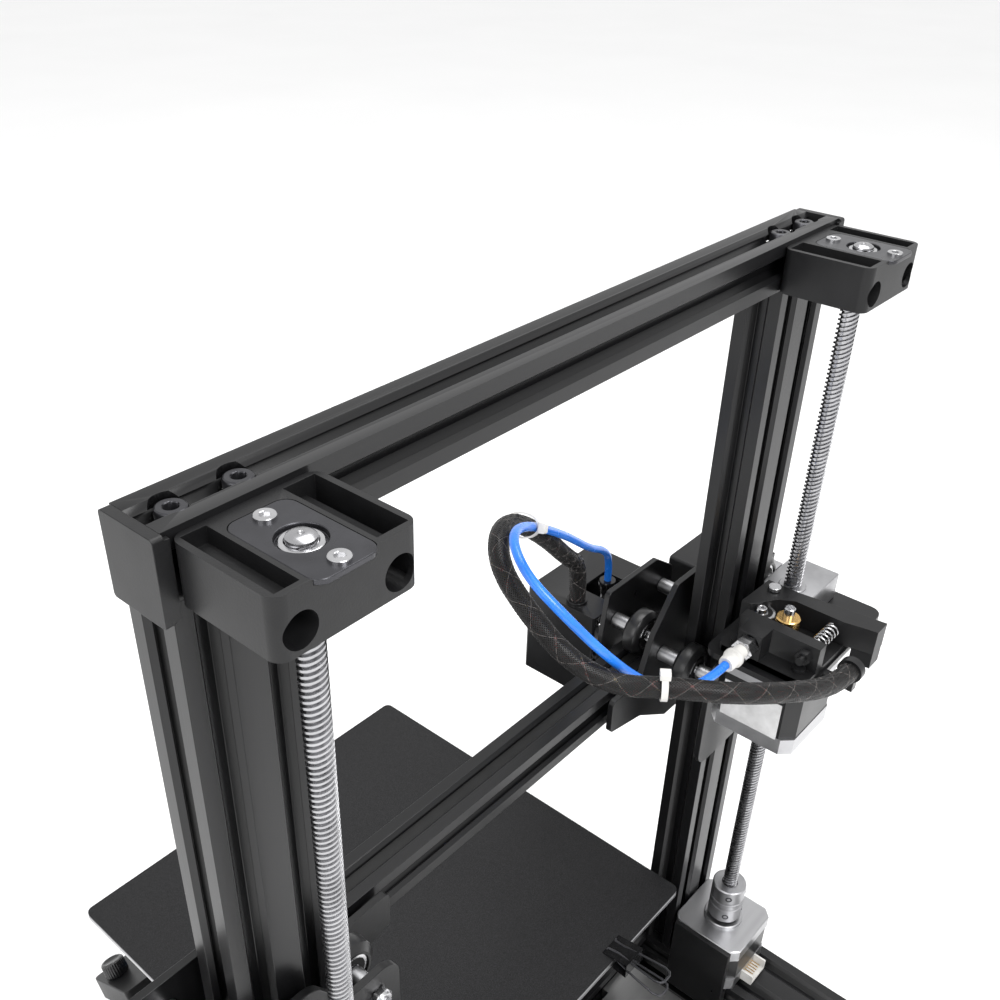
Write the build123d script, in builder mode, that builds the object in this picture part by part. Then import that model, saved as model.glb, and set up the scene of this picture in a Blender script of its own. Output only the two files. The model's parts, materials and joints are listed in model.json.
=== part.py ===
"""Desktop FDM printer: a gantry frame of slotted aluminium bars with a leadscrew behind each post.

Millimetres, +Z up. The origin is the middle of the footprint, on the table. +X is the machine's
right-hand side seen from its front and +Y is its back.
"""

import os
from math import cos, pi, radians, sin, tan

from build123d import *

# ---- Driving dimensions -------------------------------------------------------------------------

unit = 20.0  # side of one square of the slotted bars
core_bore = 5.0  # hole down the middle of each square
slot_mouth = 9.2  # slot width at the surface
slot_neck = 6.2  # slot width where the slanted walls end
neck_depth = 1.8
slot_inside = 11.0  # widest place under the neck
slot_depth = 6.1

frame_width = 335.0  # over the outer faces of the posts
post_length = 415.0
foot_height = 5.0
foot_radius = 9.0
side_rail_length = 300.0
bed_rail_length = 364.0

mid_x = 9.0  # middle of the frame: the X motor reaches further out than the X idler
post_y = 66.0  # middle plane of the posts
side_rail_front = -124.0
bed_rail_front = -191.0
rear_cross_beam_y = 40.0

screw_inset = 22.5  # from the outer face of a post to the leadscrew's axis
z_motor_gap = 0.85  # behind the post
screw_radius = 4.0
running_clearance = 0.08
shank_play = 0.05

motor_side = 42.3
motor_length = 34.0
feeder_motor_length = 40.0
motor_corner = 5.0
motor_hole_pitch = 31.0
pilot_radius = 11.0
shaft_radius = 2.5

wheel_radius = 12.2
wheel_width = 9.8
axle_radius = 2.5

beam_z = 248.0  # middle of the X beam at rest
beam_y = post_y - 33.0
beam_left_reach = 32.5  # of the X beam past the outer face of the post
beam_right_reach = 25.5
x_motor_gap = 0.75  # between the X motor and the gantry's outer wheels
plate_thickness = 3.0
front_plate_y = post_y - 20.0  # front face of the two plates in front of the posts
rear_plate_y = post_y + 15.0  # front face of the two plates behind the posts

carriage_x = mid_x - 143.5  # middle of the hot-end carriage at rest
carriage_plate_y = post_y - 52.0
nozzle_tip_z = 196.0

bed_side = 235.0
bed_x = mid_x
bed_y = post_y - 102.5  # middle of the bed at rest
bed_top = 113.0
bed_thickness = 3.0
sheet_thickness = 1.0
bed_post_pitch = 170.0  # between the levelling screws
bed_plate_z = 76.6  # underside of the plate that carries the bed

feeder_screw_gap = 1.85  # between the feeder's motor and the leadscrew
feeder_standoff = 4.85  # from the gantry's rear plate to the feeder's motor, over the lock nuts
feeder_plate_z = 299.0
filament_z = 312.0

holder_width = 44.4
holder_depth = 36.7
holder_height = 17.7
holder_drop = 1.9  # top of the holder below the top of the beam

belt_width = 6.0
belt_thickness = 1.4
belt_radius = 6.37  # pitch radius of the pulleys

tube_radius = 2.0
tube_bore = 1.0
sleeve_radius = 4.5
gland_radius = 5.6
gland_height = 2.0

# ---- Sizes that follow --------------------------------------------------------------------------

rail_top = foot_height + 2 * unit
post_x = frame_width / 2 - unit
screw_x = frame_width / 2 - screw_inset  # leadscrew axis, from the middle of the frame
screw_y = post_y + unit / 2 + z_motor_gap + motor_side / 2
wheel_seat = wheel_radius - neck_depth  # axle to the face of the bar that the wheel rolls on
beam_left = mid_x - frame_width / 2 - beam_left_reach
beam_right = mid_x + frame_width / 2 + beam_right_reach
beam_bottom = rail_top + post_length
frame_top = beam_bottom + unit
x_beam_top = beam_z + unit / 2
x_beam_rear = beam_y + unit / 2
motor_top = rail_top + motor_length
bed_bottom = bed_top - sheet_thickness - bed_thickness
holder_top = frame_top - holder_drop
holder_bottom = holder_top - holder_height
rear_plate_back = rear_plate_y + plate_thickness
front_plate_back = front_plate_y + plate_thickness
feeder_x = mid_x - screw_x + screw_radius + feeder_screw_gap + motor_side / 2  # axis of the filament drive
feeder_y = rear_plate_back + feeder_standoff + motor_side / 2

os.makedirs("parts", exist_ok=True)


def save(piece, name):
    """Label a finished piece and write its STEP file."""
    piece.label = name
    export_step(piece, f"parts/{name}.step")


# ---- Shapes used by several parts ----------------------------------------------------------------


def along_x(x, y, z):
    """Plane whose normal is +X, with its own X axis along +Y."""
    return Plane(origin=(x, y, z), x_dir=(0, 1, 0), z_dir=(1, 0, 0))


def along_y(x, y, z):
    """Plane whose normal is +Y, with its own X axis along +X and its Y axis along -Z."""
    return Plane(origin=(x, y, z), x_dir=(1, 0, 0), z_dir=(0, 1, 0))


def along_z(x, y, z):
    """Plane whose normal is +Z."""
    return Plane(origin=(x, y, z), x_dir=(1, 0, 0), z_dir=(0, 0, 1))


def facing_front(y):
    """Upright plane at one Y, whose normal is -Y and whose axes are world X and Z."""
    return Plane.XZ.offset(-y)


def slot_outline():
    """One slot, with its mouth on the X axis and its cavity below."""
    half = [
        (slot_mouth / 2, 0.0),
        (slot_neck / 2, -neck_depth),
        (slot_inside / 2, -neck_depth),
        (slot_inside / 2, -neck_depth - 1.5),
        (slot_neck / 2 - 0.4, -slot_depth),
    ]
    return [(-x, y) for x, y in half] + [(x, y) for x, y in reversed(half)]


def bar_face(plane, across, up):
    """Section of a slotted bar that is so many squares across and up."""
    with BuildSketch(plane) as face:
        Rectangle(across * unit, up * unit)
        for column in range(across):
            offset_x = (column - (across - 1) / 2) * unit
            for side, turn in ((1, 0), (-1, 180)):
                with Locations(Location((offset_x, side * up * unit / 2, 0), (0, 0, turn))):
                    Polygon(*slot_outline(), align=None, mode=Mode.SUBTRACT)
        for row in range(up):
            offset_y = (row - (up - 1) / 2) * unit
            for side, turn in ((1, -90), (-1, 90)):
                with Locations(Location((side * across * unit / 2, offset_y, 0), (0, 0, turn))):
                    Polygon(*slot_outline(), align=None, mode=Mode.SUBTRACT)
        with GridLocations(unit, unit, across, up):
            Circle(core_bore / 2, mode=Mode.SUBTRACT)
    return face.sketch


def discs(plane, points, radius, hole=0.0):
    """Equal discs or rings at points of a plane."""
    with BuildSketch(plane) as faces:
        with Locations(*points):
            Circle(radius)
            if hole:
                Circle(hole, mode=Mode.SUBTRACT)
    return faces.sketch


def rods(plane, points, radius, length, hole=0.0):
    """Adds equal rods or tubes to the part being built."""
    extrude(discs(plane, points, radius, hole), amount=length)


def holes(plane, points, radius, length):
    """Cuts equal round holes from the part being built."""
    extrude(discs(plane, points, radius), amount=length, mode=Mode.SUBTRACT)


def block(plane, width, height, length, corner=0.0, mode=Mode.ADD):
    """Adds or cuts a bar of rectangular section that starts on a plane, centred on its origin."""
    with BuildSketch(plane) as section:
        if corner:
            RectangleRounded(width, height, corner)
        else:
            Rectangle(width, height)
    extrude(section.sketch, amount=length, mode=mode)


def slab(x_range, y_range, z_range, mode=Mode.ADD):
    """Adds or cuts a box between two limits on each axis."""
    middle_x = (x_range[0] + x_range[1]) / 2
    middle_y = (y_range[0] + y_range[1]) / 2
    plane = along_z(middle_x, middle_y, z_range[0])
    size_x = x_range[1] - x_range[0]
    size_y = y_range[1] - y_range[0]
    block(plane, size_x, size_y, z_range[1] - z_range[0], mode=mode)


def hexes(plane, points, radius, length, hole=0.0):
    """Adds equal hexagonal nuts or heads to the part being built."""
    with BuildSketch(plane) as faces:
        with Locations(*points):
            RegularPolygon(radius, 6)
            if hole:
                Circle(hole, mode=Mode.SUBTRACT)
    extrude(faces.sketch, amount=length)


def motor_faces(plane, length):
    """Adds a square stepper motor body with cut corners, a pilot ring and tapped holes."""
    with BuildSketch(plane) as body:
        Rectangle(motor_side, motor_side)
        chamfer(body.vertices(), length=motor_corner)
    extrude(body.sketch, amount=-length)
    rods(plane, [(0, 0)], pilot_radius, 2.0, shaft_radius + 1.5)
    pitch = motor_hole_pitch / 2
    corners = [(sx * pitch, sy * pitch) for sx in (-1, 1) for sy in (-1, 1)]
    holes(plane, corners, 1.5, -4.5)
    holes(plane, [(0, 0)], shaft_radius + 1.5, -4.0)


# ---- Base ----------------------------------------------------------------------------------------

with BuildPart() as base_side_rails:
    for side in (-1, 1):
        start = along_y(mid_x + side * post_x, side_rail_front, foot_height + unit)
        extrude(bar_face(start, 2, 2), amount=side_rail_length)
save(base_side_rails.part, "base_side_rails")

rail_inner = post_x - unit  # inner face of a side rail, from the middle of the frame
cross_beam_y = (side_rail_front + 2 * unit, rear_cross_beam_y)

with BuildPart() as base_cross_beams:
    for y in cross_beam_y:
        start = along_x(mid_x - rail_inner, y, foot_height + unit)
        extrude(bar_face(start, 2, 2), amount=2 * rail_inner)
save(base_cross_beams.part, "base_cross_beams")

bed_rail_z = rail_top + unit / 2

with BuildPart() as bed_rail:
    extrude(bar_face(along_y(mid_x, bed_rail_front, bed_rail_z), 2, 1), amount=bed_rail_length)
save(bed_rail.part, "bed_rail")

foot_inset = 18.0
foot_points = [
    (mid_x + side * post_x, side_rail_front + end * side_rail_length + inset)
    for side in (-1, 1)
    for end, inset in ((0, foot_inset), (1, -foot_inset))
]

with BuildPart() as rubber_feet:
    rods(along_z(0, 0, 0), foot_points, foot_radius, foot_height)
    lower_rims = rubber_feet.edges().filter_by(GeomType.CIRCLE).group_by(Axis.Z)[0]
    chamfer(lower_rims, length=0.8)
save(rubber_feet.part, "rubber_feet")

# ---- Portal frame --------------------------------------------------------------------------------

with BuildPart() as posts:
    for side in (-1, 1):
        foot = along_z(mid_x + side * post_x, post_y, rail_top)
        extrude(bar_face(foot, 2, 1), amount=post_length)
save(posts.part, "posts")

beam_bolt_inset = (unit / 2, 1.5 * unit)  # from each end of the beam
bolt_head_radius = 4.25
bolt_head_height = 5.0
counterbore_radius = 5.4
beam_bolt_points = [
    (mid_x + side * (frame_width / 2 - inset), post_y) for side in (-1, 1) for inset in beam_bolt_inset
]

with BuildPart() as top_beam:
    start = along_x(mid_x - frame_width / 2, post_y, beam_bottom + unit / 2)
    extrude(bar_face(start, 1, 1), amount=frame_width)
    holes(along_z(0, 0, frame_top), beam_bolt_points, counterbore_radius, -slot_depth)
    holes(along_z(0, 0, beam_bottom), beam_bolt_points, axle_radius + shank_play, unit)
save(top_beam.part, "top_beam")

cap_thickness = 3.2
cap_lip = 1.6
cap_hang = 5.0
cap_return = 1.5

with BuildPart() as beam_end_caps:
    for side in (-1, 1):
        outer = mid_x + side * frame_width / 2
        plate = along_x(outer, post_y + cap_lip / 2, beam_bottom + (unit - cap_hang) / 2)
        cap_height = unit + cap_hang
        block(plate, unit + cap_lip, cap_height, side * cap_thickness, corner=1.2)
        rear = along_x(outer, post_y + unit / 2 + cap_lip / 2, beam_bottom + (unit - cap_hang) / 2)
        block(rear, cap_lip, cap_height - 2.4, -side * cap_return)
save(beam_end_caps.part, "beam_end_caps")

# ---- Leadscrew holders at the top ----------------------------------------------------------------

holder_y = post_y + unit / 2 + holder_depth / 2
holder_x = screw_x - 1.5  # middle of a holder, from the middle of the frame
holder_wall = 2.0
holder_floor = 2.2
pad_width = 23.0
tunnel_offset = 15.2
tunnel_radius = 5.0
tunnel_z = holder_bottom + 6.4
ledge_top = holder_bottom + 12.8
plate_seat = 1.6  # depth of the recess that takes the steel plate
end_bearing_radius = 8.0
end_bearing_height = 5.0


def holder_tray(side):
    """Adds one open tray with a raised pad for the end of the leadscrew."""
    tray_x = mid_x + side * holder_x
    pad_x = mid_x + side * screw_x
    block(along_z(tray_x, holder_y, holder_bottom), holder_width, holder_depth, holder_height, corner=4.0)
    inner_y = holder_depth - 2 * holder_wall
    left = tray_x - holder_width / 2 + holder_wall
    right = tray_x + holder_width / 2 - holder_wall
    low_y = holder_y - inner_y / 2
    high_y = holder_y + inner_y / 2
    floor_z = holder_bottom + holder_floor
    pockets = ((left, pad_x - pad_width / 2, left), (pad_x + pad_width / 2, right, right))
    for x_low, x_high, outer_x in pockets:
        slab((x_low, x_high), (low_y, high_y), (ledge_top, holder_top), mode=Mode.SUBTRACT)
        gap = 3.0 if outer_x == left else -3.0
        narrow = sorted((outer_x, outer_x + gap))
        slab(narrow, (low_y, high_y), (floor_z, ledge_top), mode=Mode.SUBTRACT)
    rear = along_y(tray_x, holder_y - holder_depth / 2, tunnel_z)
    tunnels = [(-tunnel_offset, 0), (tunnel_offset, 0)]
    holes(rear, tunnels, axle_radius + shank_play, holder_depth)
    holes(along_y(tray_x, holder_y - holder_depth / 2 + 6.0, tunnel_z), tunnels, tunnel_radius, holder_depth)
    seat = along_z(pad_x, screw_y, holder_top)
    block(seat, pad_width - 3.0, holder_depth - 3.0, -plate_seat, corner=4.0, mode=Mode.SUBTRACT)
    holes(seat, [(0, 0)], end_bearing_radius, -plate_seat - end_bearing_height)
    holes(seat, [(0, 0)], screw_radius + 1.0, -holder_height)


with BuildPart() as screw_holder_left:
    holder_tray(-1)
with BuildPart() as screw_holder_right:
    holder_tray(1)
with BuildPart() as screw_holders:
    add(screw_holder_left.part)
    add(screw_holder_right.part)
save(screw_holders.part, "screw_holders")

plate_screw_pitch = 25.6
plate_screw_points = [(0, -plate_screw_pitch / 2), (0, plate_screw_pitch / 2)]

with BuildPart() as screw_end_plates:
    for side in (-1, 1):
        top = along_z(mid_x + side * screw_x, screw_y, holder_top)
        with BuildSketch(top) as outline:
            RectangleRounded(pad_width - 3.2, holder_depth - 3.2, 4.0)
            Circle(end_bearing_radius - 1.5, mode=Mode.SUBTRACT)
            with Locations(*plate_screw_points):
                Circle(1.6, mode=Mode.SUBTRACT)
        extrude(outline.sketch, amount=-plate_seat)
        under = along_z(mid_x + side * screw_x, screw_y, holder_top - plate_seat)
        rods(under, [(0, 0)], end_bearing_radius, -end_bearing_height, screw_radius + running_clearance)
save(screw_end_plates.part, "screw_end_plates")

tunnel_points = [
    (mid_x + side * holder_x + shift, 0) for side in (-1, 1) for shift in (-tunnel_offset, tunnel_offset)
]
plate_screws = [
    (mid_x + side * screw_x, screw_y + shift)
    for side in (-1, 1)
    for shift in (-plate_screw_pitch / 2, plate_screw_pitch / 2)
]

with BuildPart() as frame_screws:
    head_top = frame_top - slot_depth + bolt_head_height
    rods(along_z(0, 0, head_top), beam_bolt_points, bolt_head_radius, -bolt_head_height, 2.0)
    rods(along_z(0, 0, head_top - 3.0), beam_bolt_points, 2.1, -2.0)
    rods(along_z(0, 0, frame_top - slot_depth), beam_bolt_points, axle_radius - shank_play, -unit)
    head_seat = holder_y - holder_depth / 2 + 6.0
    rods(along_y(0, head_seat, tunnel_z), tunnel_points, bolt_head_radius, 5.0)
    rods(along_y(0, head_seat, tunnel_z), tunnel_points, axle_radius, -6.0)
    rods(along_z(0, 0, holder_top + 0.9), plate_screws, 2.9, -0.9)
    rods(along_z(0, 0, holder_top), plate_screws, 1.5, -plate_seat)
save(frame_screws.part, "frame_screws")

# ---- Z drive -------------------------------------------------------------------------------------

with BuildPart() as z_motors:
    for side in (-1, 1):
        motor_faces(along_z(mid_x + side * screw_x, screw_y, motor_top), motor_length)
        rear_face = screw_y + motor_side / 2
        socket = along_y(mid_x + side * screw_x, rear_face, rail_top + 8.0)
        block(socket, 16.0, 8.0, 7.5)
save(z_motors.part, "z_motors")

with BuildPart() as z_motor_brackets:
    for side in (-1, 1):
        inner = mid_x + side * (screw_x - motor_side / 2)
        outward = mid_x + side * rail_inner
        near = sorted((inner - side * plate_thickness, inner))
        slab(near, (screw_y - 18.0, screw_y + 18.0), (foot_height + unit, motor_top))
        foot = sorted((inner, outward))
        slab(foot, (screw_y - 18.0, screw_y + 18.0), (foot_height + unit, rail_top - 1.0))

coupler_radius = 9.5
coupler_length = 25.0
coupler_bottom = motor_top + 4.0
screw_top = frame_top - 0.6


def leadscrew(side):
    """Adds one leadscrew with its coupler and the motor shaft that drives it."""
    x = mid_x + side * screw_x
    joint_z = coupler_bottom + coupler_length / 2
    rods(along_z(x, screw_y, joint_z), [(0, 0)], screw_radius, screw_top - joint_z)
    shaft_foot = motor_top - 3.5
    rods(along_z(x, screw_y, shaft_foot), [(0, 0)], shaft_radius, joint_z - shaft_foot)
    rods(along_z(x, screw_y, coupler_bottom), [(0, 0)], coupler_radius, coupler_length)


with BuildPart() as leadscrew_left:
    leadscrew(-1)
save(leadscrew_left.part, "leadscrew_left")
with BuildPart() as leadscrew_right:
    leadscrew(1)
save(leadscrew_right.part, "leadscrew_right")

# ---- Bed drive -----------------------------------------------------------------------------------

belt_x = mid_x + unit / 2
bed_rail_rear = bed_rail_front + bed_rail_length
bed_pulley_y = bed_rail_rear + motor_side / 2 + 3.85
bed_idler_y = bed_rail_front - 12.0


def belt_loop(plane, middle, span):
    """Adds a closed belt around two equal pulleys, their centres a span apart."""
    with BuildSketch(plane) as loop:
        with Locations(middle):
            SlotCenterToCenter(span, 2 * belt_radius + belt_thickness)
            SlotCenterToCenter(span, 2 * belt_radius - belt_thickness, mode=Mode.SUBTRACT)
    extrude(loop.sketch, amount=belt_width / 2, both=True)


with BuildPart() as bed_belt:
    middle_y = (bed_pulley_y + bed_idler_y) / 2
    belt_loop(along_x(belt_x, middle_y, bed_rail_z), (0, 0), bed_pulley_y - bed_idler_y)
save(bed_belt.part, "bed_belt")

bed_motor_face = belt_x + 8.0

with BuildPart() as bed_motor:
    motor_faces(Plane(origin=(bed_motor_face, bed_pulley_y, bed_rail_z), x_dir=(0, 1, 0), z_dir=(-1, 0, 0)),
                motor_length)
    pulley = along_x(belt_x, bed_pulley_y, bed_rail_z)
    inside = belt_radius - belt_thickness / 2 - shank_play
    rods(pulley.offset(-belt_width / 2 - 0.3), [(0, 0)], inside, belt_width + 0.6)
    rods(pulley.offset(-belt_width / 2 - 1.6), [(0, 0)], inside + 2.2, 1.2)
    rods(pulley.offset(belt_width / 2 + 0.4), [(0, 0)], inside + 2.2, 1.2)
    rods(pulley.offset(-belt_width / 2 - 2.0), [(0, 0)], shaft_radius, 21.0)
save(bed_motor.part, "bed_motor")

bracket_thickness = 3.0
arm_grip = 7.0  # length held against the side of the bed rail, clear of the bed wheels

with BuildPart() as bed_motor_bracket:
    face = along_x(bed_motor_face - bracket_thickness, bed_pulley_y, bed_rail_z)
    block(face, motor_side, motor_side, bracket_thickness)
    arm_end_y = bed_pulley_y - motor_side / 2
    arm_face_x = bed_motor_face - bracket_thickness
    arm_z = (rail_top, rail_top + unit)
    arm_outer_x = mid_x + unit + bracket_thickness
    slab((mid_x + unit, arm_outer_x), (bed_rail_rear - arm_grip, arm_end_y), arm_z)
    slab((arm_face_x, arm_outer_x), (bed_rail_rear, arm_end_y), arm_z)
    slab((arm_face_x, bed_motor_face), (bed_rail_rear, bed_pulley_y), arm_z)
    holes(face, [(0, 0)], pilot_radius + 0.2, bracket_thickness)

with BuildPart() as motor_brackets:
    add(z_motor_brackets.part)
    add(bed_motor_bracket.part)
save(motor_brackets.part, "motor_brackets")

with BuildPart() as bed_idler:
    ear_y = (bed_idler_y - 12.0, bed_rail_front)
    ear_z = (bed_rail_z - unit / 2, bed_rail_z + unit / 2)
    for side in (-1, 1):
        ear_x = sorted((belt_x + side * 5.5, belt_x + side * 9.0))
        slab(ear_x, ear_y, ear_z)
    slab((belt_x - 9.0, belt_x + 9.0), (ear_y[0] - 4.0, ear_y[0]), ear_z)
    roller = along_x(belt_x - 5.5, bed_idler_y, bed_rail_z)
    rods(roller, [(0, 0)], belt_radius - belt_thickness / 2 - shank_play, 11.0)
save(bed_idler.part, "bed_idler")

# ---- Power and controls --------------------------------------------------------------------------

supply_size = (215.0, 112.0, 30.0)
supply_z = 8.0
supply_rear = side_rail_front + side_rail_length
supply_front = supply_rear - supply_size[1]
socket_x = mid_x - 66.0
switch_x = mid_x - 96.0
switch_pivot_y = supply_rear - 4.0
switch_pin_radius = 1.0
switch_z = supply_z + supply_size[2] / 2

with BuildPart() as power_supply:
    slab((mid_x - supply_size[0] / 2, mid_x + supply_size[0] / 2), (supply_front, supply_rear),
         (supply_z, supply_z + supply_size[2]))
    fillet(power_supply.edges().filter_by(Axis.Z), radius=2.0)
    block(along_y(socket_x, supply_rear, switch_z), 27.0, 20.0, -14.0, mode=Mode.SUBTRACT)
    block(along_y(switch_x, supply_rear, switch_z), 13.2, 21.0, -12.0, mode=Mode.SUBTRACT)
    pin_length = 16.0
    pin_start = along_x(switch_x - pin_length / 2, switch_pivot_y, switch_z)
    holes(pin_start, [(0, 0)], switch_pin_radius + shank_play, pin_length)
    for tab_x in (-90.0, 90.0):
        slab((mid_x + tab_x - 8.0, mid_x + tab_x + 8.0), (rear_cross_beam_y + unit, supply_front),
             (supply_z + 10.0, supply_z + supply_size[2]))
    for side in (-1, 1):
        ear_x = sorted((mid_x + side * supply_size[0] / 2, mid_x + side * (post_x - unit)))
        slab(ear_x, (supply_rear - 40.0, supply_rear - 20.0), (supply_z + supply_size[2] - 4.0,
             supply_z + supply_size[2]))
save(power_supply.part, "power_supply")

with BuildPart() as power_switch:
    with BuildSketch(along_x(switch_x - 6.2, switch_pivot_y, switch_z)) as rocker:
        Circle(5.2)
        with Locations((3.0, 0)):
            Rectangle(6.0, 9.6)
    extrude(rocker.sketch, amount=12.4)
    rods(pin_start, [(0, 0)], switch_pin_radius, pin_length)
save(power_switch.part, "power_switch")

control_size = (96.0, 78.0, 36.0)

with BuildPart() as control_box:
    control_range_x = (mid_x + rail_inner - control_size[0], mid_x + rail_inner)
    control_front = cross_beam_y[0] + unit
    control_range_y = (control_front, control_front + control_size[1])
    slab(control_range_x, control_range_y, (rail_top - control_size[2], rail_top))
    slab((control_range_x[0] + 2, control_range_x[1] - 2), (control_range_y[0] + 2, control_range_y[1] - 2),
         (rail_top - control_size[2] + 2, rail_top - 2), mode=Mode.SUBTRACT)
    fan_mouth = along_z(control_range_x[0] + 40.0, control_range_y[0] + 45.0, rail_top - control_size[2])
    holes(fan_mouth, [(0, 0)], 18.0, 2.0)
save(control_box.part, "control_box")

display_tilt = 30.0
display_size = (70.0, 46.0, 14.0)
display_gap = 2.4  # between the case and the bed wheels that pass beside it
display_x = mid_x + unit + wheel_seat + wheel_radius + display_gap + display_size[0] / 2
display_y = side_rail_front - 23.0
display_z = rail_top - 13.0
knob_spot = (26.0, -6.0)
display_plane = Plane(
    origin=(display_x, display_y, display_z),
    x_dir=(1, 0, 0),
    z_dir=(0, -sin(radians(display_tilt)), cos(radians(display_tilt))),
)

with BuildPart() as display_case:
    block(display_plane, display_size[0], display_size[1], display_size[2], corner=3.0)
    with BuildSketch(display_plane.offset(display_size[2])) as window:
        with Locations((-8.0, 2.0)):
            Rectangle(46.0, 28.0)
    extrude(window.sketch, amount=-1.2, mode=Mode.SUBTRACT)
    holes(display_plane.offset(display_size[2]), [knob_spot], 3.2, -8.0)
    slab((display_x - 25.0, display_x + 25.0), (display_y - 3.0, cross_beam_y[0] - unit),
         (display_z - 10.0, display_z + 2.0))
save(display_case.part, "display_case")

with BuildPart() as display_knob:
    rods(display_plane.offset(display_size[2] + 0.6), [knob_spot], 7.0, 9.0)
    rods(display_plane.offset(display_size[2] - 7.0), [knob_spot], 3.0, 7.6)
save(display_knob.part, "display_knob")

# ---- X beam and its plates -----------------------------------------------------------------------

with BuildPart() as x_beam:
    extrude(bar_face(along_x(beam_left, beam_y, beam_z), 1, 1), amount=beam_right - beam_left)
save(x_beam.part, "x_beam")

inner_wheel_x = post_x - unit - wheel_seat
outer_wheel_x = post_x + unit + wheel_seat
inner_wheel_z = 266.0
outer_wheel_z = (230.0, 290.0)
x_motor_x = mid_x - outer_wheel_x - wheel_radius - x_motor_gap - motor_side / 2
plate_corner = 9.0


def plate_points(side):
    """Axle holes of one gantry plate, as X and Z."""
    points = [(mid_x + side * inner_wheel_x, inner_wheel_z)]
    return points + [(mid_x + side * outer_wheel_x, z) for z in outer_wheel_z]


def front_outline(side):
    """Corner points of the plate in front of a post, as X and Z."""
    tab = 77.0
    points = [
        (tab, 238.0),
        (tab, x_beam_top - 1.0),
        (100.0, x_beam_top - 1.0),
        (108.0, 280.0),
        (126.0, 303.0),
        (outer_wheel_x + 12.0, 303.0),
        (outer_wheel_x + 12.0, 216.0),
        (130.0, 216.0),
        (104.0, 232.0),
    ]
    return [(mid_x + side * x, z) for x, z in points]


motor_wing = (x_motor_x - motor_side / 2 - 1.0, mid_x - outer_wheel_x - 9.0, beam_z - 22.0, beam_z + 22.0)

with BuildPart() as gantry_front_plates:
    for side in (-1, 1):
        with BuildSketch(facing_front(front_plate_back)) as outline:
            Polygon(*front_outline(side), align=None)
            fillet(outline.vertices(), radius=3.0)
            with Locations(*plate_points(side)):
                Circle(axle_radius + shank_play, mode=Mode.SUBTRACT)
        extrude(outline.sketch, amount=plate_thickness)
    with BuildSketch(facing_front(front_plate_back)) as wing:
        with Locations(((motor_wing[0] + motor_wing[1]) / 2, beam_z)):
            Rectangle(motor_wing[1] - motor_wing[0], motor_wing[3] - motor_wing[2])
    extrude(wing.sketch, amount=plate_thickness)
    holes(facing_front(front_plate_back), [(x_motor_x, beam_z)], pilot_radius + 0.3, plate_thickness)
    spacers = [(mid_x + side * x, beam_z) for side in (-1, 1) for x in (96.0, 170.0)]
    rods(facing_front(front_plate_y), spacers, 4.5, front_plate_y - x_beam_rear)
save(gantry_front_plates.part, "gantry_front_plates")


def rear_outline(side):
    """Corner points of the plate behind a post, as X and Z."""
    points = [
        (inner_wheel_x - 11.0, 216.0),
        (inner_wheel_x - 11.0, inner_wheel_z + 12.0),
        (inner_wheel_x + 13.0, inner_wheel_z + 12.0),
        (inner_wheel_x + 27.0, 301.0 - 2.4),
        (outer_wheel_x + 11.0, 301.0 - 2.4),
        (outer_wheel_x + 11.0, 216.0),
    ]
    return [(mid_x + side * x, z) for x, z in points]


nut_flange_z = 236.0

with BuildPart() as gantry_rear_plates:
    for side in (-1, 1):
        with BuildSketch(facing_front(rear_plate_back)) as outline:
            Polygon(*rear_outline(side), align=None)
            fillet(outline.vertices(), radius=plate_corner)
            with Locations(*plate_points(side)):
                Circle(axle_radius + shank_play, mode=Mode.SUBTRACT)
        extrude(outline.sketch, amount=plate_thickness)
    flange_x = mid_x + screw_x
    slab((flange_x - 19.0, flange_x + 19.0), (rear_plate_back, screw_y + 14.0),
         (nut_flange_z, nut_flange_z + plate_thickness))
    holes(along_z(flange_x, screw_y, nut_flange_z), [(0, 0)], 5.3, plate_thickness)
save(gantry_rear_plates.part, "gantry_rear_plates")

nut_block_x = (mid_x - screw_x - 25.0, mid_x - screw_x + 4.4)
nut_block_y = (rear_plate_back + 1.5, screw_y + 12.0)
nut_block_height = 14.0

with BuildPart() as leadscrew_nuts:
    block_z = feeder_plate_z + plate_thickness
    slab(nut_block_x, nut_block_y, (block_z, block_z + nut_block_height))
    thread_radius = screw_radius + running_clearance
    holes(along_z(mid_x - screw_x, screw_y, block_z), [(0, 0)], thread_radius, nut_block_height)
    right = along_z(mid_x + screw_x, screw_y, nut_flange_z + plate_thickness)
    rods(right, [(0, 0)], 11.0, 3.5, screw_radius + running_clearance)
    rods(right, [(0, 0)], 5.1, -12.0, screw_radius + running_clearance)
save(leadscrew_nuts.part, "leadscrew_nuts")

spacer_radius = 3.9
nut_radius = 4.6

with BuildPart() as gantry_axles:
    for side in (-1, 1):
        points = plate_points(side)
        rods(along_y(0, front_plate_y, 0), [(x, -z) for x, z in points], axle_radius,
             rear_plate_back - front_plate_y + 4.4)
        rods(along_y(0, front_plate_back, 0), [(x, -z) for x, z in points], spacer_radius,
             post_y - wheel_width / 2 - 0.15 - front_plate_back, axle_radius)
        rods(along_y(0, post_y + wheel_width / 2 + 0.15, 0), [(x, -z) for x, z in points], spacer_radius,
             rear_plate_y - post_y - wheel_width / 2 - 0.15, axle_radius)
        hexes(along_y(0, rear_plate_back, 0), [(x, -z) for x, z in points], nut_radius, 3.6, axle_radius)
save(gantry_axles.part, "gantry_axles")


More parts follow.
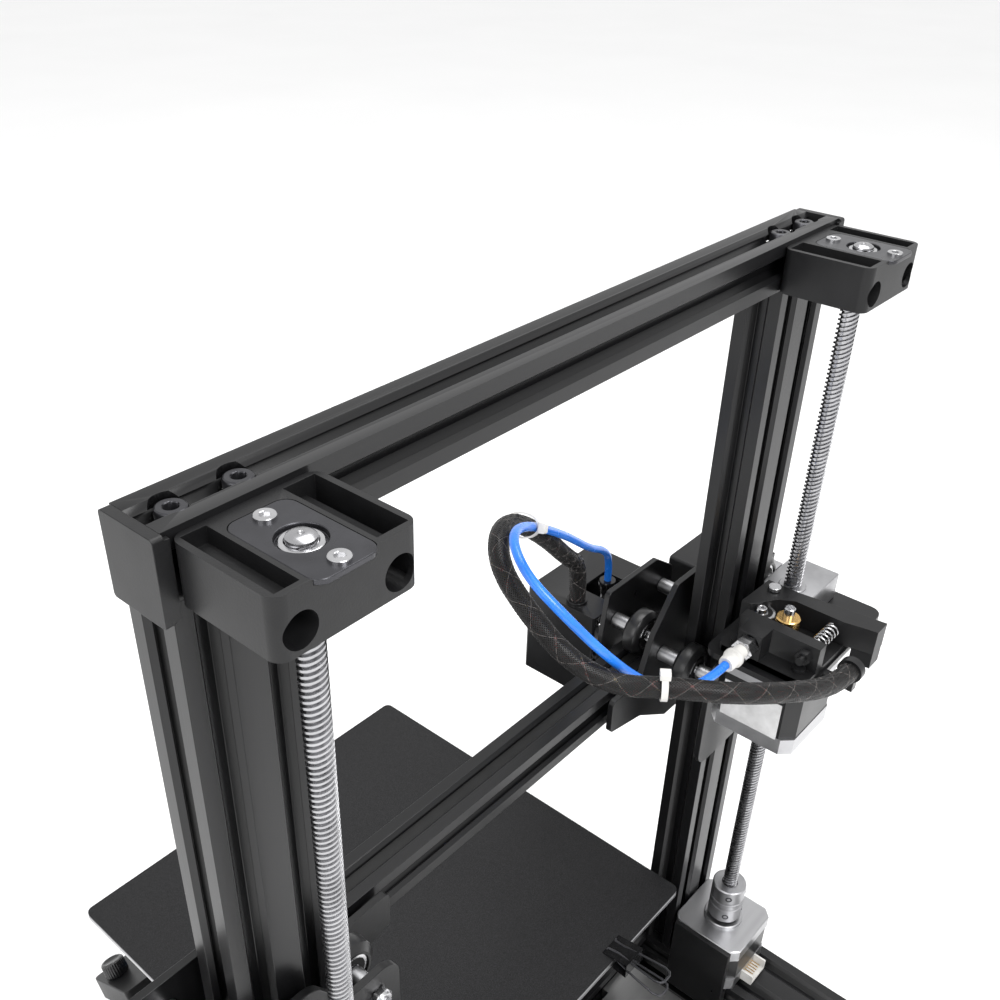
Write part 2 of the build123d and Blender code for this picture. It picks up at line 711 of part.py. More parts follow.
def wheel(plane):
    """Adds one V wheel that is centred on the plane, with a bore that turns on its axle."""
    rim_half = slot_neck / 2 - 0.2
    slope = (slot_mouth - slot_neck) / 2 / neck_depth
    side_half = wheel_width / 2
    shoulder = wheel_radius - (side_half - rim_half) / slope
    bore = axle_radius + shank_play
    profile_plane = Plane(origin=plane.origin, x_dir=plane.x_dir, z_dir=-plane.y_dir)
    with BuildSketch(profile_plane) as section:
        Polygon(
            (bore, -side_half),
            (shoulder, -side_half),
            (wheel_radius, -rim_half),
            (wheel_radius, rim_half),
            (shoulder, side_half),
            (bore, side_half),
            align=None,
        )
    revolve(section.sketch, axis=Axis(plane.origin, plane.z_dir))


with BuildPart() as z_wheel_left:
    wheel(along_y(mid_x - inner_wheel_x, post_y, inner_wheel_z))
save(z_wheel_left.part, "z_wheel_left")
with BuildPart() as z_wheel_right:
    wheel(along_y(mid_x + inner_wheel_x, post_y, inner_wheel_z))
save(z_wheel_right.part, "z_wheel_right")
with BuildPart() as outer_wheels:
    for side in (-1, 1):
        for z in outer_wheel_z:
            wheel(along_y(mid_x + side * outer_wheel_x, post_y, z))
save(outer_wheels.part, "outer_wheels")

# ---- X drive -------------------------------------------------------------------------------------

x_idler_x = beam_right + 12.0

with BuildPart() as x_motor:
    face = Plane(origin=(x_motor_x, front_plate_back, beam_z), x_dir=(1, 0, 0), z_dir=(0, -1, 0))
    motor_faces(face, motor_length)
save(x_motor.part, "x_motor")

pulley_inside = belt_radius - belt_thickness / 2 - shank_play

with BuildPart() as x_pulley:
    rods(along_y(x_motor_x, beam_y - belt_width / 2 - 0.3, beam_z), [(0, 0)], pulley_inside, belt_width + 0.6)
    rods(along_y(x_motor_x, beam_y - belt_width / 2 - 1.6, beam_z), [(0, 0)], pulley_inside + 2.2, 1.2)
    rods(along_y(x_motor_x, beam_y + belt_width / 2 + 0.4, beam_z), [(0, 0)], pulley_inside + 2.2, 6.0)
    rods(along_y(x_motor_x, beam_y - belt_width / 2 - 3.0, beam_z), [(0, 0)], shaft_radius,
         front_plate_back + 3.5 - beam_y + belt_width / 2 + 3.0)
save(x_pulley.part, "x_pulley")

with BuildPart() as x_belt:
    middle_x = (x_motor_x + x_idler_x) / 2
    belt_loop(Plane(origin=(middle_x, beam_y, beam_z), x_dir=(1, 0, 0), z_dir=(0, -1, 0)), (0, 0),
              x_idler_x - x_motor_x)
save(x_belt.part, "x_belt")

with BuildPart() as x_idler:
    for side in (-1, 1):
        ear_y = sorted((beam_y + side * 5.5, beam_y + side * 9.5))
        slab((beam_right, x_idler_x + 9.0), ear_y, (beam_z - 10.0, beam_z + 10.0))
    slab((x_idler_x + 9.0, x_idler_x + 12.0), (beam_y - 9.5, beam_y + 9.5), (beam_z - 10.0, beam_z + 10.0))
    rods(along_y(x_idler_x, beam_y - 5.5, beam_z), [(0, 0)], pulley_inside, 11.0)
save(x_idler.part, "x_idler")

cover_wall = 2.0
cover_x = (x_motor_x - motor_side / 2 - 2.5, mid_x - outer_wheel_x - wheel_radius - 0.1)
cover_y = (post_y - 60.0, front_plate_y)
cover_z = (beam_z - 23.0, beam_z + 22.0)

with BuildPart() as x_motor_cover:
    slab(cover_x, cover_y, cover_z)
    fillet(x_motor_cover.edges().filter_by(Axis.Y), radius=2.0)
    slab((cover_x[0] + cover_wall, cover_x[1] - cover_wall), (cover_y[0] + cover_wall, cover_y[1]),
         (cover_z[0] + cover_wall, cover_z[1] - cover_wall), mode=Mode.SUBTRACT)
    slab((cover_x[1] - 2 * cover_wall, cover_x[1]), (beam_y - unit / 2 - 0.5, cover_y[1]),
         (beam_z - unit / 2 - 0.5, x_beam_top + 0.5), mode=Mode.SUBTRACT)
save(x_motor_cover.part, "x_motor_cover")

# ---- Filament feeder -----------------------------------------------------------------------------

feeder_top = feeder_plate_z + plate_thickness
feeder_plate_x = (mid_x - screw_x - 30.0, feeder_x + motor_side / 2 + 4.85)
feeder_plate_y = (rear_plate_back, feeder_y + motor_side / 2 + 1.85)
bracket_tab_x = (mid_x - screw_x - 25.0, mid_x - screw_x + 4.0)
feeder_gland = (feeder_x + 6.0, feeder_y + 34.0, 309.0)

with BuildPart() as feeder_bracket:
    centre = along_z(sum(feeder_plate_x) / 2, sum(feeder_plate_y) / 2, feeder_plate_z)
    block(centre, feeder_plate_x[1] - feeder_plate_x[0], feeder_plate_y[1] - feeder_plate_y[0],
          plate_thickness, corner=6.0)
    slab(bracket_tab_x, (rear_plate_back, rear_plate_back + plate_thickness - 1.5), (feeder_plate_z - 26.0,
         feeder_plate_z))
    holes(along_z(mid_x - screw_x, screw_y, feeder_plate_z), [(0, 0)], screw_radius + 1.5, plate_thickness)
    saddle_x = (feeder_gland[0] - 4.0, feeder_gland[0])
    slab(saddle_x, (feeder_plate_y[1] - 1.0, feeder_gland[1]), (feeder_plate_z, feeder_top))
    slab(saddle_x, (feeder_gland[1] - 3.0, feeder_gland[1] + 3.0), (feeder_plate_z, feeder_gland[2]))
    rods(along_x(*feeder_gland).offset(-4.0), [(0, 0)], gland_radius, 4.0)
    holes(along_z(feeder_x, feeder_y, feeder_plate_z), [(0, 0)], pilot_radius + 0.3, plate_thickness)
save(feeder_bracket.part, "feeder_bracket")

with BuildPart() as feeder_motor:
    motor_faces(along_z(feeder_x, feeder_y, feeder_plate_z), feeder_motor_length)
save(feeder_motor.part, "feeder_motor")

arm_x = (feeder_x + 6.5, feeder_x + 12.5)
arm_y = (feeder_y - 17.0, feeder_y + 22.0)
body_top = filament_z + 6.0
filament_y = feeder_y - 6.6
base_top = feeder_top + 3.0
spring_y = feeder_y + 16.0
pivot_x = feeder_x - motor_hole_pitch / 2
pivot_y = feeder_y - motor_hole_pitch / 2
lever_face_x = pivot_x + 1.5  # inner face of the handle, where the spring presses
fitting_start = feeder_x + 22.0
fitting_end = feeder_x + 42.0

with BuildPart() as feeder_arm:
    centre = along_z(feeder_x + 1.0, feeder_y, feeder_top)
    block(centre, 44.0, 44.0, 3.0, corner=6.0)
    slab(arm_x, arm_y, (base_top, body_top))
    slab((arm_x[1], fitting_start), (filament_y - 5.8, filament_y + 5.8), (base_top, body_top))
    holes(along_z(feeder_x, feeder_y, feeder_top), [(0, 0)], 8.0, 3.0)
    holes(along_z(pivot_x, pivot_y, feeder_top), [(0, 0)], 1.6, 3.0)
    holes(along_x(arm_x[0], filament_y, filament_z), [(0, 0)], 2.1, fitting_end - arm_x[0])

with BuildPart() as tube_fitting:
    fitting_nut = 7.0
    fitting_neck = 5.0
    collar_start = fitting_start + fitting_nut + fitting_neck
    rods(along_x(fitting_start, filament_y, filament_z), [(0, 0)], 4.8, fitting_nut, tube_bore)
    rods(along_x(fitting_start + fitting_nut, filament_y, filament_z), [(0, 0)], 3.6, fitting_neck, tube_bore)
    rods(along_x(collar_start, filament_y, filament_z), [(0, 0)], 5.0, fitting_end - collar_start, tube_bore)

with BuildPart() as feeder_screws:
    adjuster = along_x(arm_x[1], spring_y, filament_z)
    hexes(adjuster, [(0, 0)], 3.6, 3.2)
    rods(adjuster.offset(3.2), [(0, 0)], 1.9, 3.0)
    pitch = motor_hole_pitch / 2
    corners = [(feeder_x + pitch, feeder_y - pitch), (feeder_x + pitch, feeder_y + pitch)]
    rods(along_z(0, 0, base_top), corners, 2.8, 2.2)
    rods(along_z(0, 0, feeder_top), [(pivot_x, pivot_y)], 1.5, body_top - feeder_top)
    rods(along_z(0, 0, body_top), [(pivot_x, pivot_y)], 3.0, 2.0)

with BuildPart() as feeder_body:
    add(feeder_arm.part)
    add(tube_fitting.part)
    add(feeder_screws.part)
save(feeder_body.part, "feeder_body")

with BuildPart() as feeder_gear:
    rods(along_z(feeder_x, feeder_y, feeder_plate_z - 3.5), [(0, 0)], shaft_radius, 28.0)
    rods(along_z(feeder_x, feeder_y, base_top + 0.5), [(0, 0)], 5.5, 13.0)
save(feeder_gear.part, "feeder_gear")

bearing_radius = 6.5
bearing_x = feeder_x - 1.0
bearing_y = feeder_y - 5.5 - 1.5 - bearing_radius
lever_low = base_top + 0.3
lever_thickness = body_top - lever_low - 0.3
handle_end = feeder_y + 35.0

with BuildPart() as feeder_lever:
    with BuildSketch(along_z(0, 0, lever_low)) as outline:
        with BuildLine():
            Polyline(
                (pivot_x - 6.0, pivot_y - 6.0),
                (bearing_x + 3.0, pivot_y - 7.0),
                (bearing_x + 3.0, pivot_y - 2.5),
                (pivot_x + 5.0, pivot_y + 5.5),
                (lever_face_x, pivot_y + 12.0),
                (lever_face_x, spring_y + 4.0),
                (lever_face_x - 2.0, handle_end - 6.0),
                (lever_face_x - 3.0, handle_end),
                (lever_face_x - 12.5, handle_end),
                (lever_face_x - 10.0, spring_y),
                (lever_face_x - 7.5, pivot_y + 10.0),
                (pivot_x - 6.0, pivot_y + 5.0),
                close=True,
            )
        make_face()
        with Locations((pivot_x, pivot_y)):
            Circle(1.5 + shank_play, mode=Mode.SUBTRACT)
    extrude(outline.sketch, amount=lever_thickness)
    slab((lever_face_x - 12.0, lever_face_x - 3.0), (feeder_plate_y[1] + 2.0, handle_end),
         (lever_low - 8.0, lever_low))
    rods(along_z(bearing_x, bearing_y, lever_low + lever_thickness / 2 - 2.5), [(0, 0)], bearing_radius, 5.0)
save(feeder_lever.part, "feeder_lever")

with BuildPart() as feeder_spring:
    rods(along_x(lever_face_x, spring_y, filament_z), [(0, 0)], 3.5, arm_x[0] - lever_face_x, 2.4)
save(feeder_spring.part, "feeder_spring")

# ---- Hot-end carriage ----------------------------------------------------------------------------

x_wheel_pitch = 43.0
x_wheel_top_z = x_beam_top + wheel_seat
x_wheel_low_z = beam_z - unit / 2 - wheel_seat
x_wheel_points = [
    (carriage_x - x_wheel_pitch / 2, x_wheel_top_z),
    (carriage_x + x_wheel_pitch / 2, x_wheel_top_z),
    (carriage_x, x_wheel_low_z),
]
carriage_back = carriage_plate_y + plate_thickness

with BuildPart() as carriage_plate:
    with BuildSketch(facing_front(carriage_back)) as outline:
        Polygon(
            (carriage_x - 32.0, 276.0),
            (carriage_x - 15.0, 288.0),
            (carriage_x + 29.0, 288.0),
            (carriage_x + 32.0, 262.0),
            (carriage_x + 32.0, 232.0),
            (carriage_x + 14.0, 214.0),
            (carriage_x - 14.0, 214.0),
            (carriage_x - 32.0, 232.0),
            align=None,
        )
        fillet(outline.vertices(), radius=3.0)
        with Locations(*x_wheel_points):
            Circle(axle_radius + shank_play, mode=Mode.SUBTRACT)
    extrude(outline.sketch, amount=plate_thickness)
    grip_x = (carriage_x - 4.0, carriage_x + 4.0)
    slab(grip_x, (carriage_back, beam_y + 2.0), (x_beam_top + 1.2, x_beam_top + 4.0))
    grip_z = beam_z + belt_radius + belt_thickness / 2 + 0.4
    slab(grip_x, (beam_y - 2.0, beam_y + 2.0), (grip_z, x_beam_top + 1.2))
save(carriage_plate.part, "carriage_plate")

wheel_half = wheel_width / 2 + 0.15

with BuildPart() as carriage_axles:
    flat = [(x, -z) for x, z in x_wheel_points]
    rods(along_y(0, carriage_plate_y, 0), flat, axle_radius, beam_y + wheel_half + 6.4 - carriage_plate_y)
    rods(along_y(0, carriage_plate_y - 3.0, 0), flat, 4.5, 3.0)
    rods(along_y(0, carriage_back, 0), flat, spacer_radius, beam_y - wheel_half - carriage_back, axle_radius)
    hexes(along_y(0, beam_y + wheel_half, 0), flat, nut_radius, 4.4, axle_radius)
save(carriage_axles.part, "carriage_axles")

for number, (wheel_x, wheel_z) in enumerate(x_wheel_points, start=1):
    with BuildPart() as x_wheel:
        wheel(along_y(wheel_x, beam_y, wheel_z))
    save(x_wheel.part, f"x_wheel_{number}")

shroud_x = (carriage_x - 26.5, carriage_x + 31.5)
shroud_y = (post_y - 100.0, carriage_plate_y - 3.4)
shroud_z = (216.0, 270.0)
shroud_wall = 1.6
hotend_x = carriage_x - 2.0
hotend_y = post_y - 71.0
fan_radius = 17.0
carriage_gland = (mid_x - 119.0, post_y - 72.0)

with BuildPart() as hotend_shroud:
    slab(shroud_x, shroud_y, shroud_z)
    fillet(hotend_shroud.edges().filter_by(Axis.Z), radius=2.0)
    slab((shroud_x[0] + shroud_wall, shroud_x[1] - shroud_wall), (shroud_y[0] + shroud_wall, shroud_y[1]),
         (shroud_z[0], shroud_z[1] - shroud_wall), mode=Mode.SUBTRACT)
    slab((hotend_x - 7.0, hotend_x + 15.0), (hotend_y - 7.0, shroud_y[1]),
         (shroud_z[1] - shroud_wall, shroud_z[1]), mode=Mode.SUBTRACT)
    holes(facing_front(shroud_y[0] + shroud_wall), [(carriage_x + 2.5, 243.0)], fan_radius, shroud_wall)
    rods(along_z(carriage_gland[0], carriage_gland[1], shroud_z[1]), [(0, 0)], gland_radius, gland_height)
save(hotend_shroud.part, "hotend_shroud")

fitting_top = shroud_z[1] + 1.0  # the filament tube ends above the lid

with BuildPart() as hotend:
    tip = nozzle_tip_z
    rods(along_z(hotend_x, hotend_y, tip + 2.5), [(0, 0)], 4.0, 4.0)
    with BuildSketch(along_z(hotend_x, hotend_y, tip)) as point:
        Circle(0.8)
    extrude(point.sketch, amount=2.5, taper=-40)
    slab((hotend_x - 12.0, hotend_x + 8.0), (hotend_y - 8.0, hotend_y + 8.0), (tip + 6.5, tip + 18.5))
    rods(along_z(hotend_x, hotend_y, tip + 18.5), [(0, 0)], 2.2, 2.0)
    sink_z = tip + 20.5
    slab((hotend_x - 13.0, hotend_x + 13.0), (hotend_y - 6.5, hotend_y + 6.5), (sink_z, sink_z + 21.0))
    for step in range(4):
        fin_z = sink_z + 2.4 + 4.6 * step
        for side in (-1, 1):
            fin = sorted((hotend_x + side * 5.0, hotend_x + side * 13.0))
            slab(fin, (hotend_y - 6.5, hotend_y + 6.5), (fin_z, fin_z + 2.4), mode=Mode.SUBTRACT)
    rods(along_z(hotend_x, hotend_y, sink_z + 21.0), [(0, 0)], 5.0, fitting_top - sink_z - 21.0, tube_bore)
    slab((hotend_x - 10.0, hotend_x + 10.0), (hotend_y + 6.5, carriage_plate_y), (sink_z + 17.0, sink_z + 20.6))
save(hotend.part, "hotend")

# ---- Bed -----------------------------------------------------------------------------------------

pitch_half = bed_post_pitch / 2
bed_posts = [(bed_x + sx * pitch_half, bed_y + sy * pitch_half) for sx in (-1, 1) for sy in (-1, 1)]
bed_screw_radius = 2.0

with BuildPart() as heated_bed:
    block(along_z(bed_x, bed_y, bed_bottom), bed_side, bed_side, bed_thickness, corner=5.0)
    holes(along_z(0, 0, bed_bottom), bed_posts, bed_screw_radius + shank_play, bed_thickness)
save(heated_bed.part, "heated_bed")

with BuildPart() as build_sheet:
    block(along_z(bed_x, bed_y, bed_top - sheet_thickness), bed_side - 0.6, bed_side - 0.6, sheet_thickness,
          corner=4.0)
save(build_sheet.part, "build_sheet")

bed_wheel_x = unit + wheel_seat
bed_wheel_y = 45.0
bed_wheel_points = [(mid_x + sx * bed_wheel_x, bed_y + sy * bed_wheel_y) for sx in (-1, 1) for sy in (-1, 1)]

with BuildPart() as bed_carriage:
    with BuildSketch(along_z(bed_x, bed_y, bed_plate_z)) as outline:
        for turn in (45, -45):
            with Locations(Location((0, 0, 0), (0, 0, turn))):
                SlotCenterToCenter(bed_post_pitch * 2**0.5, 26.0)
        Rectangle(96.0, 116.0)
        with Locations(*[(x - bed_x, y - bed_y) for x, y in bed_posts]):
            Circle(bed_screw_radius + shank_play, mode=Mode.SUBTRACT)
        with Locations(*[(x - bed_x, y - bed_y) for x, y in bed_wheel_points]):
            Circle(axle_radius + shank_play, mode=Mode.SUBTRACT)
    extrude(outline.sketch, amount=plate_thickness)
    clamp_z = bed_rail_z + belt_radius + belt_thickness / 2 + 0.4
    slab((belt_x - 2.0, belt_x + 2.0), (bed_y - 8.0, bed_y + 8.0), (clamp_z, bed_plate_z))
save(bed_carriage.part, "bed_carriage")

bed_plate_top = bed_plate_z + plate_thickness

with BuildPart() as bed_springs:
    rods(along_z(0, 0, bed_plate_top), bed_posts, 4.5, bed_bottom - bed_plate_top, 3.2)

knob_radius = 17.0
knob_height = 13.0
knob_top = bed_plate_z - 0.4

with BuildPart() as bed_screws:
    rods(along_z(0, 0, knob_top - knob_height - 1.0), bed_posts, bed_screw_radius,
         bed_top - sheet_thickness - knob_top + knob_height + 1.0)

with BuildPart() as bed_supports:
    add(bed_springs.part)
    add(bed_screws.part)
save(bed_supports.part, "bed_supports")

knob_names = ("bed_knob_front_left", "bed_knob_rear_left", "bed_knob_front_right", "bed_knob_rear_right")
for name, (knob_x, knob_y) in zip(knob_names, bed_posts):
    with BuildPart() as bed_knob:
        bore = bed_screw_radius + shank_play
        rods(along_z(knob_x, knob_y, knob_top), [(0, 0)], knob_radius, -knob_height, bore)
        low_edges = bed_knob.edges().filter_by(GeomType.CIRCLE).group_by(Axis.Z)[0]
        fillet(low_edges.sort_by(SortBy.RADIUS)[-1], radius=2.0)
    save(bed_knob.part, name)

with BuildPart() as bed_wheels:
    for x, y in bed_wheel_points:
        wheel(along_z(x, y, bed_rail_z))
    rods(along_z(0, 0, bed_rail_z - wheel_half), bed_wheel_points, axle_radius,
         bed_plate_top - bed_rail_z + wheel_half)
    rods(along_z(0, 0, bed_rail_z + wheel_half), bed_wheel_points, spacer_radius,
         bed_plate_z - bed_rail_z - wheel_half, axle_radius)
    rods(along_z(0, 0, bed_plate_top), bed_wheel_points, 4.5, 2.6)
save(bed_wheels.part, "bed_wheels")

clip_x = (bed_x - 60.0, bed_x + 60.0)
clip_width = 15.0
bed_rear = bed_y + bed_side / 2
clip_wall = 0.7

with BuildPart() as bed_clips:
    for x in clip_x:
        with BuildSketch(along_x(x - clip_width / 2, bed_rear, (bed_top + bed_bottom) / 2)) as section:
            grip = (bed_top - bed_bottom) / 2
            Polygon(
                (-7.0, grip),
                (-7.0, grip + clip_wall),
                (1.0, grip + 1.6 + clip_wall),
                (9.0, grip + 2.6),
                (9.0, -grip - 2.6),
                (1.0, -grip - 1.6 - clip_wall),
                (-7.0, -grip - clip_wall),
                (-7.0, -grip),
                (0.4, -grip),
                (1.2, -grip - 1.2),
                (8.2, -grip - 2.0),
                (8.2, grip + 2.0),
                (1.2, grip + 1.2),
                (0.4, grip),
                align=None,
            )
        extrude(section.sketch, amount=clip_width)
        for side in (-1, 1):
            level = (bed_top + bed_bottom) / 2 + side * (grip + 3.4)
            rods(along_y(0, bed_rear - 6.0, level), [(x - 5.0, 0), (x + 5.0, 0)], 0.7, 34.0)
            rods(along_x(x - 5.7, bed_rear + 28.0, level), [(0, 0)], 0.7, 11.4)
save(bed_clips.part, "bed_clips")

# ---- Filament tube and cable sleeve -----------------------------------------------------------------


def arc_radii(points):
    """Radius at each inner point of a route: as large as its two runs allow."""
    radii = []
    for before, here, after in zip(points, points[1:], points[2:]):
        run_in = Vector(*here) - Vector(*before)
        run_out = Vector(*after) - Vector(*here)
        turn = radians(run_in.get_angle(run_out))
        radii.append(0.45 * min(run_in.length, run_out.length) / tan(turn / 2))
    return radii


def cord(points, radius, name):
    """Builds one cord of round section along straight runs and tangent arcs."""
    radii = arc_radii(points)
    print(name, "radii", [round(value, 1) for value in radii])
    with BuildPart() as tube:
        with BuildLine() as route:
            FilletPolyline(*points, radius=radii)
        start = Plane(origin=points[0], z_dir=Vector(*points[1]) - Vector(*points[0]))
        with BuildSketch(start):
            Circle(radius)
        sweep(path=route.wires()[0])
    length = route.wires()[0].length
    volume_ratio = tube.part.volume / (pi * radius**2 * length)
    print(name, "length", round(length, 1), "volume over section times length", round(volume_ratio, 4))
    save(tube.part, name)


bowden_route = [
    (-67.0, 103.4, 312.0),
    (-50.0, 103.4, 312.0),
    (-32.0, 98.0, 315.5),
    (-17.0, 90.0, 327.0),
    (1.0, 83.0, 348.0),
    (12.0, 72.0, 366.0),
    (15.0, 57.0, 377.0),
    (9.0, 44.0, 383.0),
    (-4.0, 34.0, 381.0),
    (-29.0, 24.0, 367.0),
    (-70.0, 12.0, 338.0),
    (-106.0, 2.0, 312.0),
    (-127.5, -3.3, 298.0),
    (-136.5, -5.0, 285.0),
    (-136.5, -5.0, 271.0),
]
cord(bowden_route, tube_radius, "bowden_tube")

harness_route = [
    (-103.0, 144.0, 309.0),
    (-83.0, 144.0, 309.0),
    (-53.0, 140.0, 318.0),
    (-27.0, 128.0, 326.0),
    (-11.0, 108.0, 329.0),
    (-2.0, 87.0, 333.0),
    (7.0, 69.0, 345.0),
    (14.0, 52.0, 360.0),
    (11.0, 35.0, 372.0),
    (-2.0, 22.0, 379.0),
    (-24.0, 12.0, 372.0),
    (-54.0, 5.0, 349.0),
    (-82.0, 0.0, 321.0),
    (-110.0, -6.0, 294.0),
    (-110.0, -6.0, 272.0),
]
cord(harness_route, sleeve_radius, "cable_harness")
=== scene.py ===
"""Looks of a desktop printer with a slotted-bar portal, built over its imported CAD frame. Metres, +Z up."""

import json
from math import cos, pi, radians, sin

import bmesh
import bpy
from mathutils import Matrix, Vector


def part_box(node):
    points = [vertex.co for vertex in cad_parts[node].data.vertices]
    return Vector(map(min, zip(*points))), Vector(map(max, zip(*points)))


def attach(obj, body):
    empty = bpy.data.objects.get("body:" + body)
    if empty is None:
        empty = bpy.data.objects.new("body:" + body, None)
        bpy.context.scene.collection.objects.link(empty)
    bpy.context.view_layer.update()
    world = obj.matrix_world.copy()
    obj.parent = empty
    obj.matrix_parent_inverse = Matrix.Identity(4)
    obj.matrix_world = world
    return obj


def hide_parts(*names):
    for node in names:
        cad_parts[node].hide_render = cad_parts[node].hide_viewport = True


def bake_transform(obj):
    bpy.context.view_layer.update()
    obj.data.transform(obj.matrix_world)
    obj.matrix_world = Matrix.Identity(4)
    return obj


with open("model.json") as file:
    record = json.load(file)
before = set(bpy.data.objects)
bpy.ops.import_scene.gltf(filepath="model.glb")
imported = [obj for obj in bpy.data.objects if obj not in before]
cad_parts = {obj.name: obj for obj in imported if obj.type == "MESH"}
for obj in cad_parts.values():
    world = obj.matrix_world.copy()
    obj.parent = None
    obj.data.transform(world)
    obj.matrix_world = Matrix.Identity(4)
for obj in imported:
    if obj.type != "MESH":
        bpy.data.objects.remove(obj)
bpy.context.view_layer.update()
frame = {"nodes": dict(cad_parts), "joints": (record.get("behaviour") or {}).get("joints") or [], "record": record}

mm = 0.001
AXIS_X = Vector((1, 0, 0))
AXIS_Y = Vector((0, 1, 0))
AXIS_Z = Vector((0, 0, 1))
scene = bpy.context.scene
body_of = {node: body for body, nodes in frame["record"]["behaviour"]["bodies"].items() for node in nodes}

# ---- Camera ---------------------------------------------------------------------------------------

camera_place = Vector((0.2867, 0.2651, 0.6117))
camera_right = Vector((-0.66538714, 0.74641095, 0.01143028))
camera_down = Vector((0.40247572, 0.37159815, -0.83661706))
camera_forward = Vector((-0.6287076, -0.55207382, -0.54766892))

camera_data = bpy.data.cameras.new("camera")
camera_data.lens = 39.53
camera_data.sensor_width = 36.0
camera_data.shift_x = 0.0312
camera_data.shift_y = 0.0535
camera_data.clip_start = 0.01
camera = bpy.data.objects.new("camera", camera_data)
columns = Matrix((camera_right, -camera_down, -camera_forward)).transposed()
camera.matrix_world = Matrix.Translation(camera_place) @ columns.to_4x4()
scene.collection.objects.link(camera)
scene.camera = camera

# ---- Materials ------------------------------------------------------------------------------------


class Shader:
    """A principled material whose colour, roughness and bump come from procedural nodes."""

    def __init__(self, name, colour, roughness, metallic=0.0, specular=0.5):
        self.material = bpy.data.materials.new(name)
        self.material.use_nodes = True
        self.material.diffuse_color = (*colour, 1.0)
        self.tree = self.material.node_tree
        self.surface = self.tree.nodes["Principled BSDF"]
        self.surface.inputs["Base Color"].default_value = (*colour, 1.0)
        self.surface.inputs["Roughness"].default_value = roughness
        self.surface.inputs["Metallic"].default_value = metallic
        self.surface.inputs["Specular IOR Level"].default_value = specular
        self.colour = colour
        self.roughness = roughness
        self.height = None

    def node(self, kind, **values):
        made = self.tree.nodes.new(kind)
        for key, value in values.items():
            if key in made.inputs:
                made.inputs[key].default_value = value
            else:
                setattr(made, key, value)
        return made

    def link(self, start, end):
        self.tree.links.new(start, end)

    def place(self, stretch=(1.0, 1.0, 1.0)):
        """Coordinates fixed to the object, stretched along its axes."""
        coordinates = self.node("ShaderNodeTexCoord")
        mapping = self.node("ShaderNodeMapping", Scale=stretch)
        self.link(coordinates.outputs["Object"], mapping.inputs["Vector"])
        return mapping.outputs["Vector"]

    def noise(self, scale, stretch=(1.0, 1.0, 1.0), detail=4.0):
        texture = self.node("ShaderNodeTexNoise", Scale=scale, Detail=detail)
        self.link(self.place(stretch), texture.inputs["Vector"])
        return texture.outputs["Fac"]

    def cells(self, scale, stretch=(1.0, 1.0, 1.0)):
        texture = self.node("ShaderNodeTexVoronoi", Scale=scale)
        self.link(self.place(stretch), texture.inputs["Vector"])
        return texture.outputs["Distance"]

    def ramp(self, source, low, high, start=0.3, end=0.7):
        """Maps a grey value to two colours."""
        made = self.node("ShaderNodeValToRGB")
        made.color_ramp.elements[0].position = start
        made.color_ramp.elements[1].position = end
        made.color_ramp.elements[0].color = (*low, 1.0)
        made.color_ramp.elements[1].color = (*high, 1.0)
        self.link(source, made.inputs["Fac"])
        return made.outputs["Color"]

    def vary_colour(self, source, amount, start=0.3, end=0.7):
        """Lets a pattern lighten and darken the base colour."""
        low = tuple(max(0.0, c * (1 - amount)) for c in self.colour)
        high = tuple(min(1.0, c * (1 + amount)) for c in self.colour)
        self.link(self.ramp(source, low, high, start, end), self.surface.inputs["Base Color"])
        return self

    def vary_roughness(self, source, amount):
        made = self.node("ShaderNodeMapRange")
        made.inputs["To Min"].default_value = max(0.02, self.roughness - amount)
        made.inputs["To Max"].default_value = min(1.0, self.roughness + amount)
        self.link(source, made.inputs["Value"])
        self.link(made.outputs["Result"], self.surface.inputs["Roughness"])
        return self

    def bump(self, source, distance, strength=1.0):
        made = self.node("ShaderNodeBump", Strength=strength, Distance=distance)
        self.link(source, made.inputs["Height"])
        if self.height is not None:
            self.link(self.height, made.inputs["Normal"])
        self.height = made.outputs["Normal"]
        self.link(self.height, self.surface.inputs["Normal"])
        return self


def bar_shader(name, stretch):
    """Black anodised aluminium with faint drawing lines along the bar."""
    made = Shader(name, (0.0055, 0.0055, 0.006), 0.3, specular=0.34)
    made.vary_colour(made.noise(60, stretch), 0.35)
    made.vary_roughness(made.noise(34, stretch), 0.08)
    made.bump(made.noise(900, stretch), 0.00003, 0.5)
    made.bump(made.noise(2600), 0.00002, 0.45)
    return made.material


def plastic_shader(name, colour, roughness, grain=2200.0, depth=0.00004, specular=0.3):
    """Moulded plastic with a spark-eroded grain."""
    made = Shader(name, colour, roughness, specular=specular)
    made.vary_colour(made.noise(120), 0.18)
    made.vary_roughness(made.noise(45), 0.07)
    made.bump(made.noise(grain, detail=6.0), depth, 0.8)
    made.bump(made.cells(grain * 0.6), depth * 0.6, 0.5)
    return made.material


def metal_shader(name, colour, roughness, stretch=(1.0, 1.0, 1.0), metallic=1.0):
    """Bare metal with fine tool marks and a little tarnish."""
    made = Shader(name, colour, roughness, metallic=metallic)
    made.vary_colour(made.noise(90, stretch), 0.14)
    made.vary_roughness(made.noise(260, stretch), 0.1)
    made.bump(made.noise(1500, stretch), 0.00002, 0.5)
    return made.material


def coated_shader(name, colour, roughness):
    """Powder coat over sheet metal: a low orange-peel ripple and a fine grain."""
    made = Shader(name, colour, roughness, specular=0.34)
    made.vary_colour(made.noise(150), 0.2)
    made.vary_roughness(made.noise(70), 0.06)
    made.bump(made.noise(700), 0.00005, 0.6)
    made.bump(made.noise(3200), 0.00002, 0.5)
    return made.material


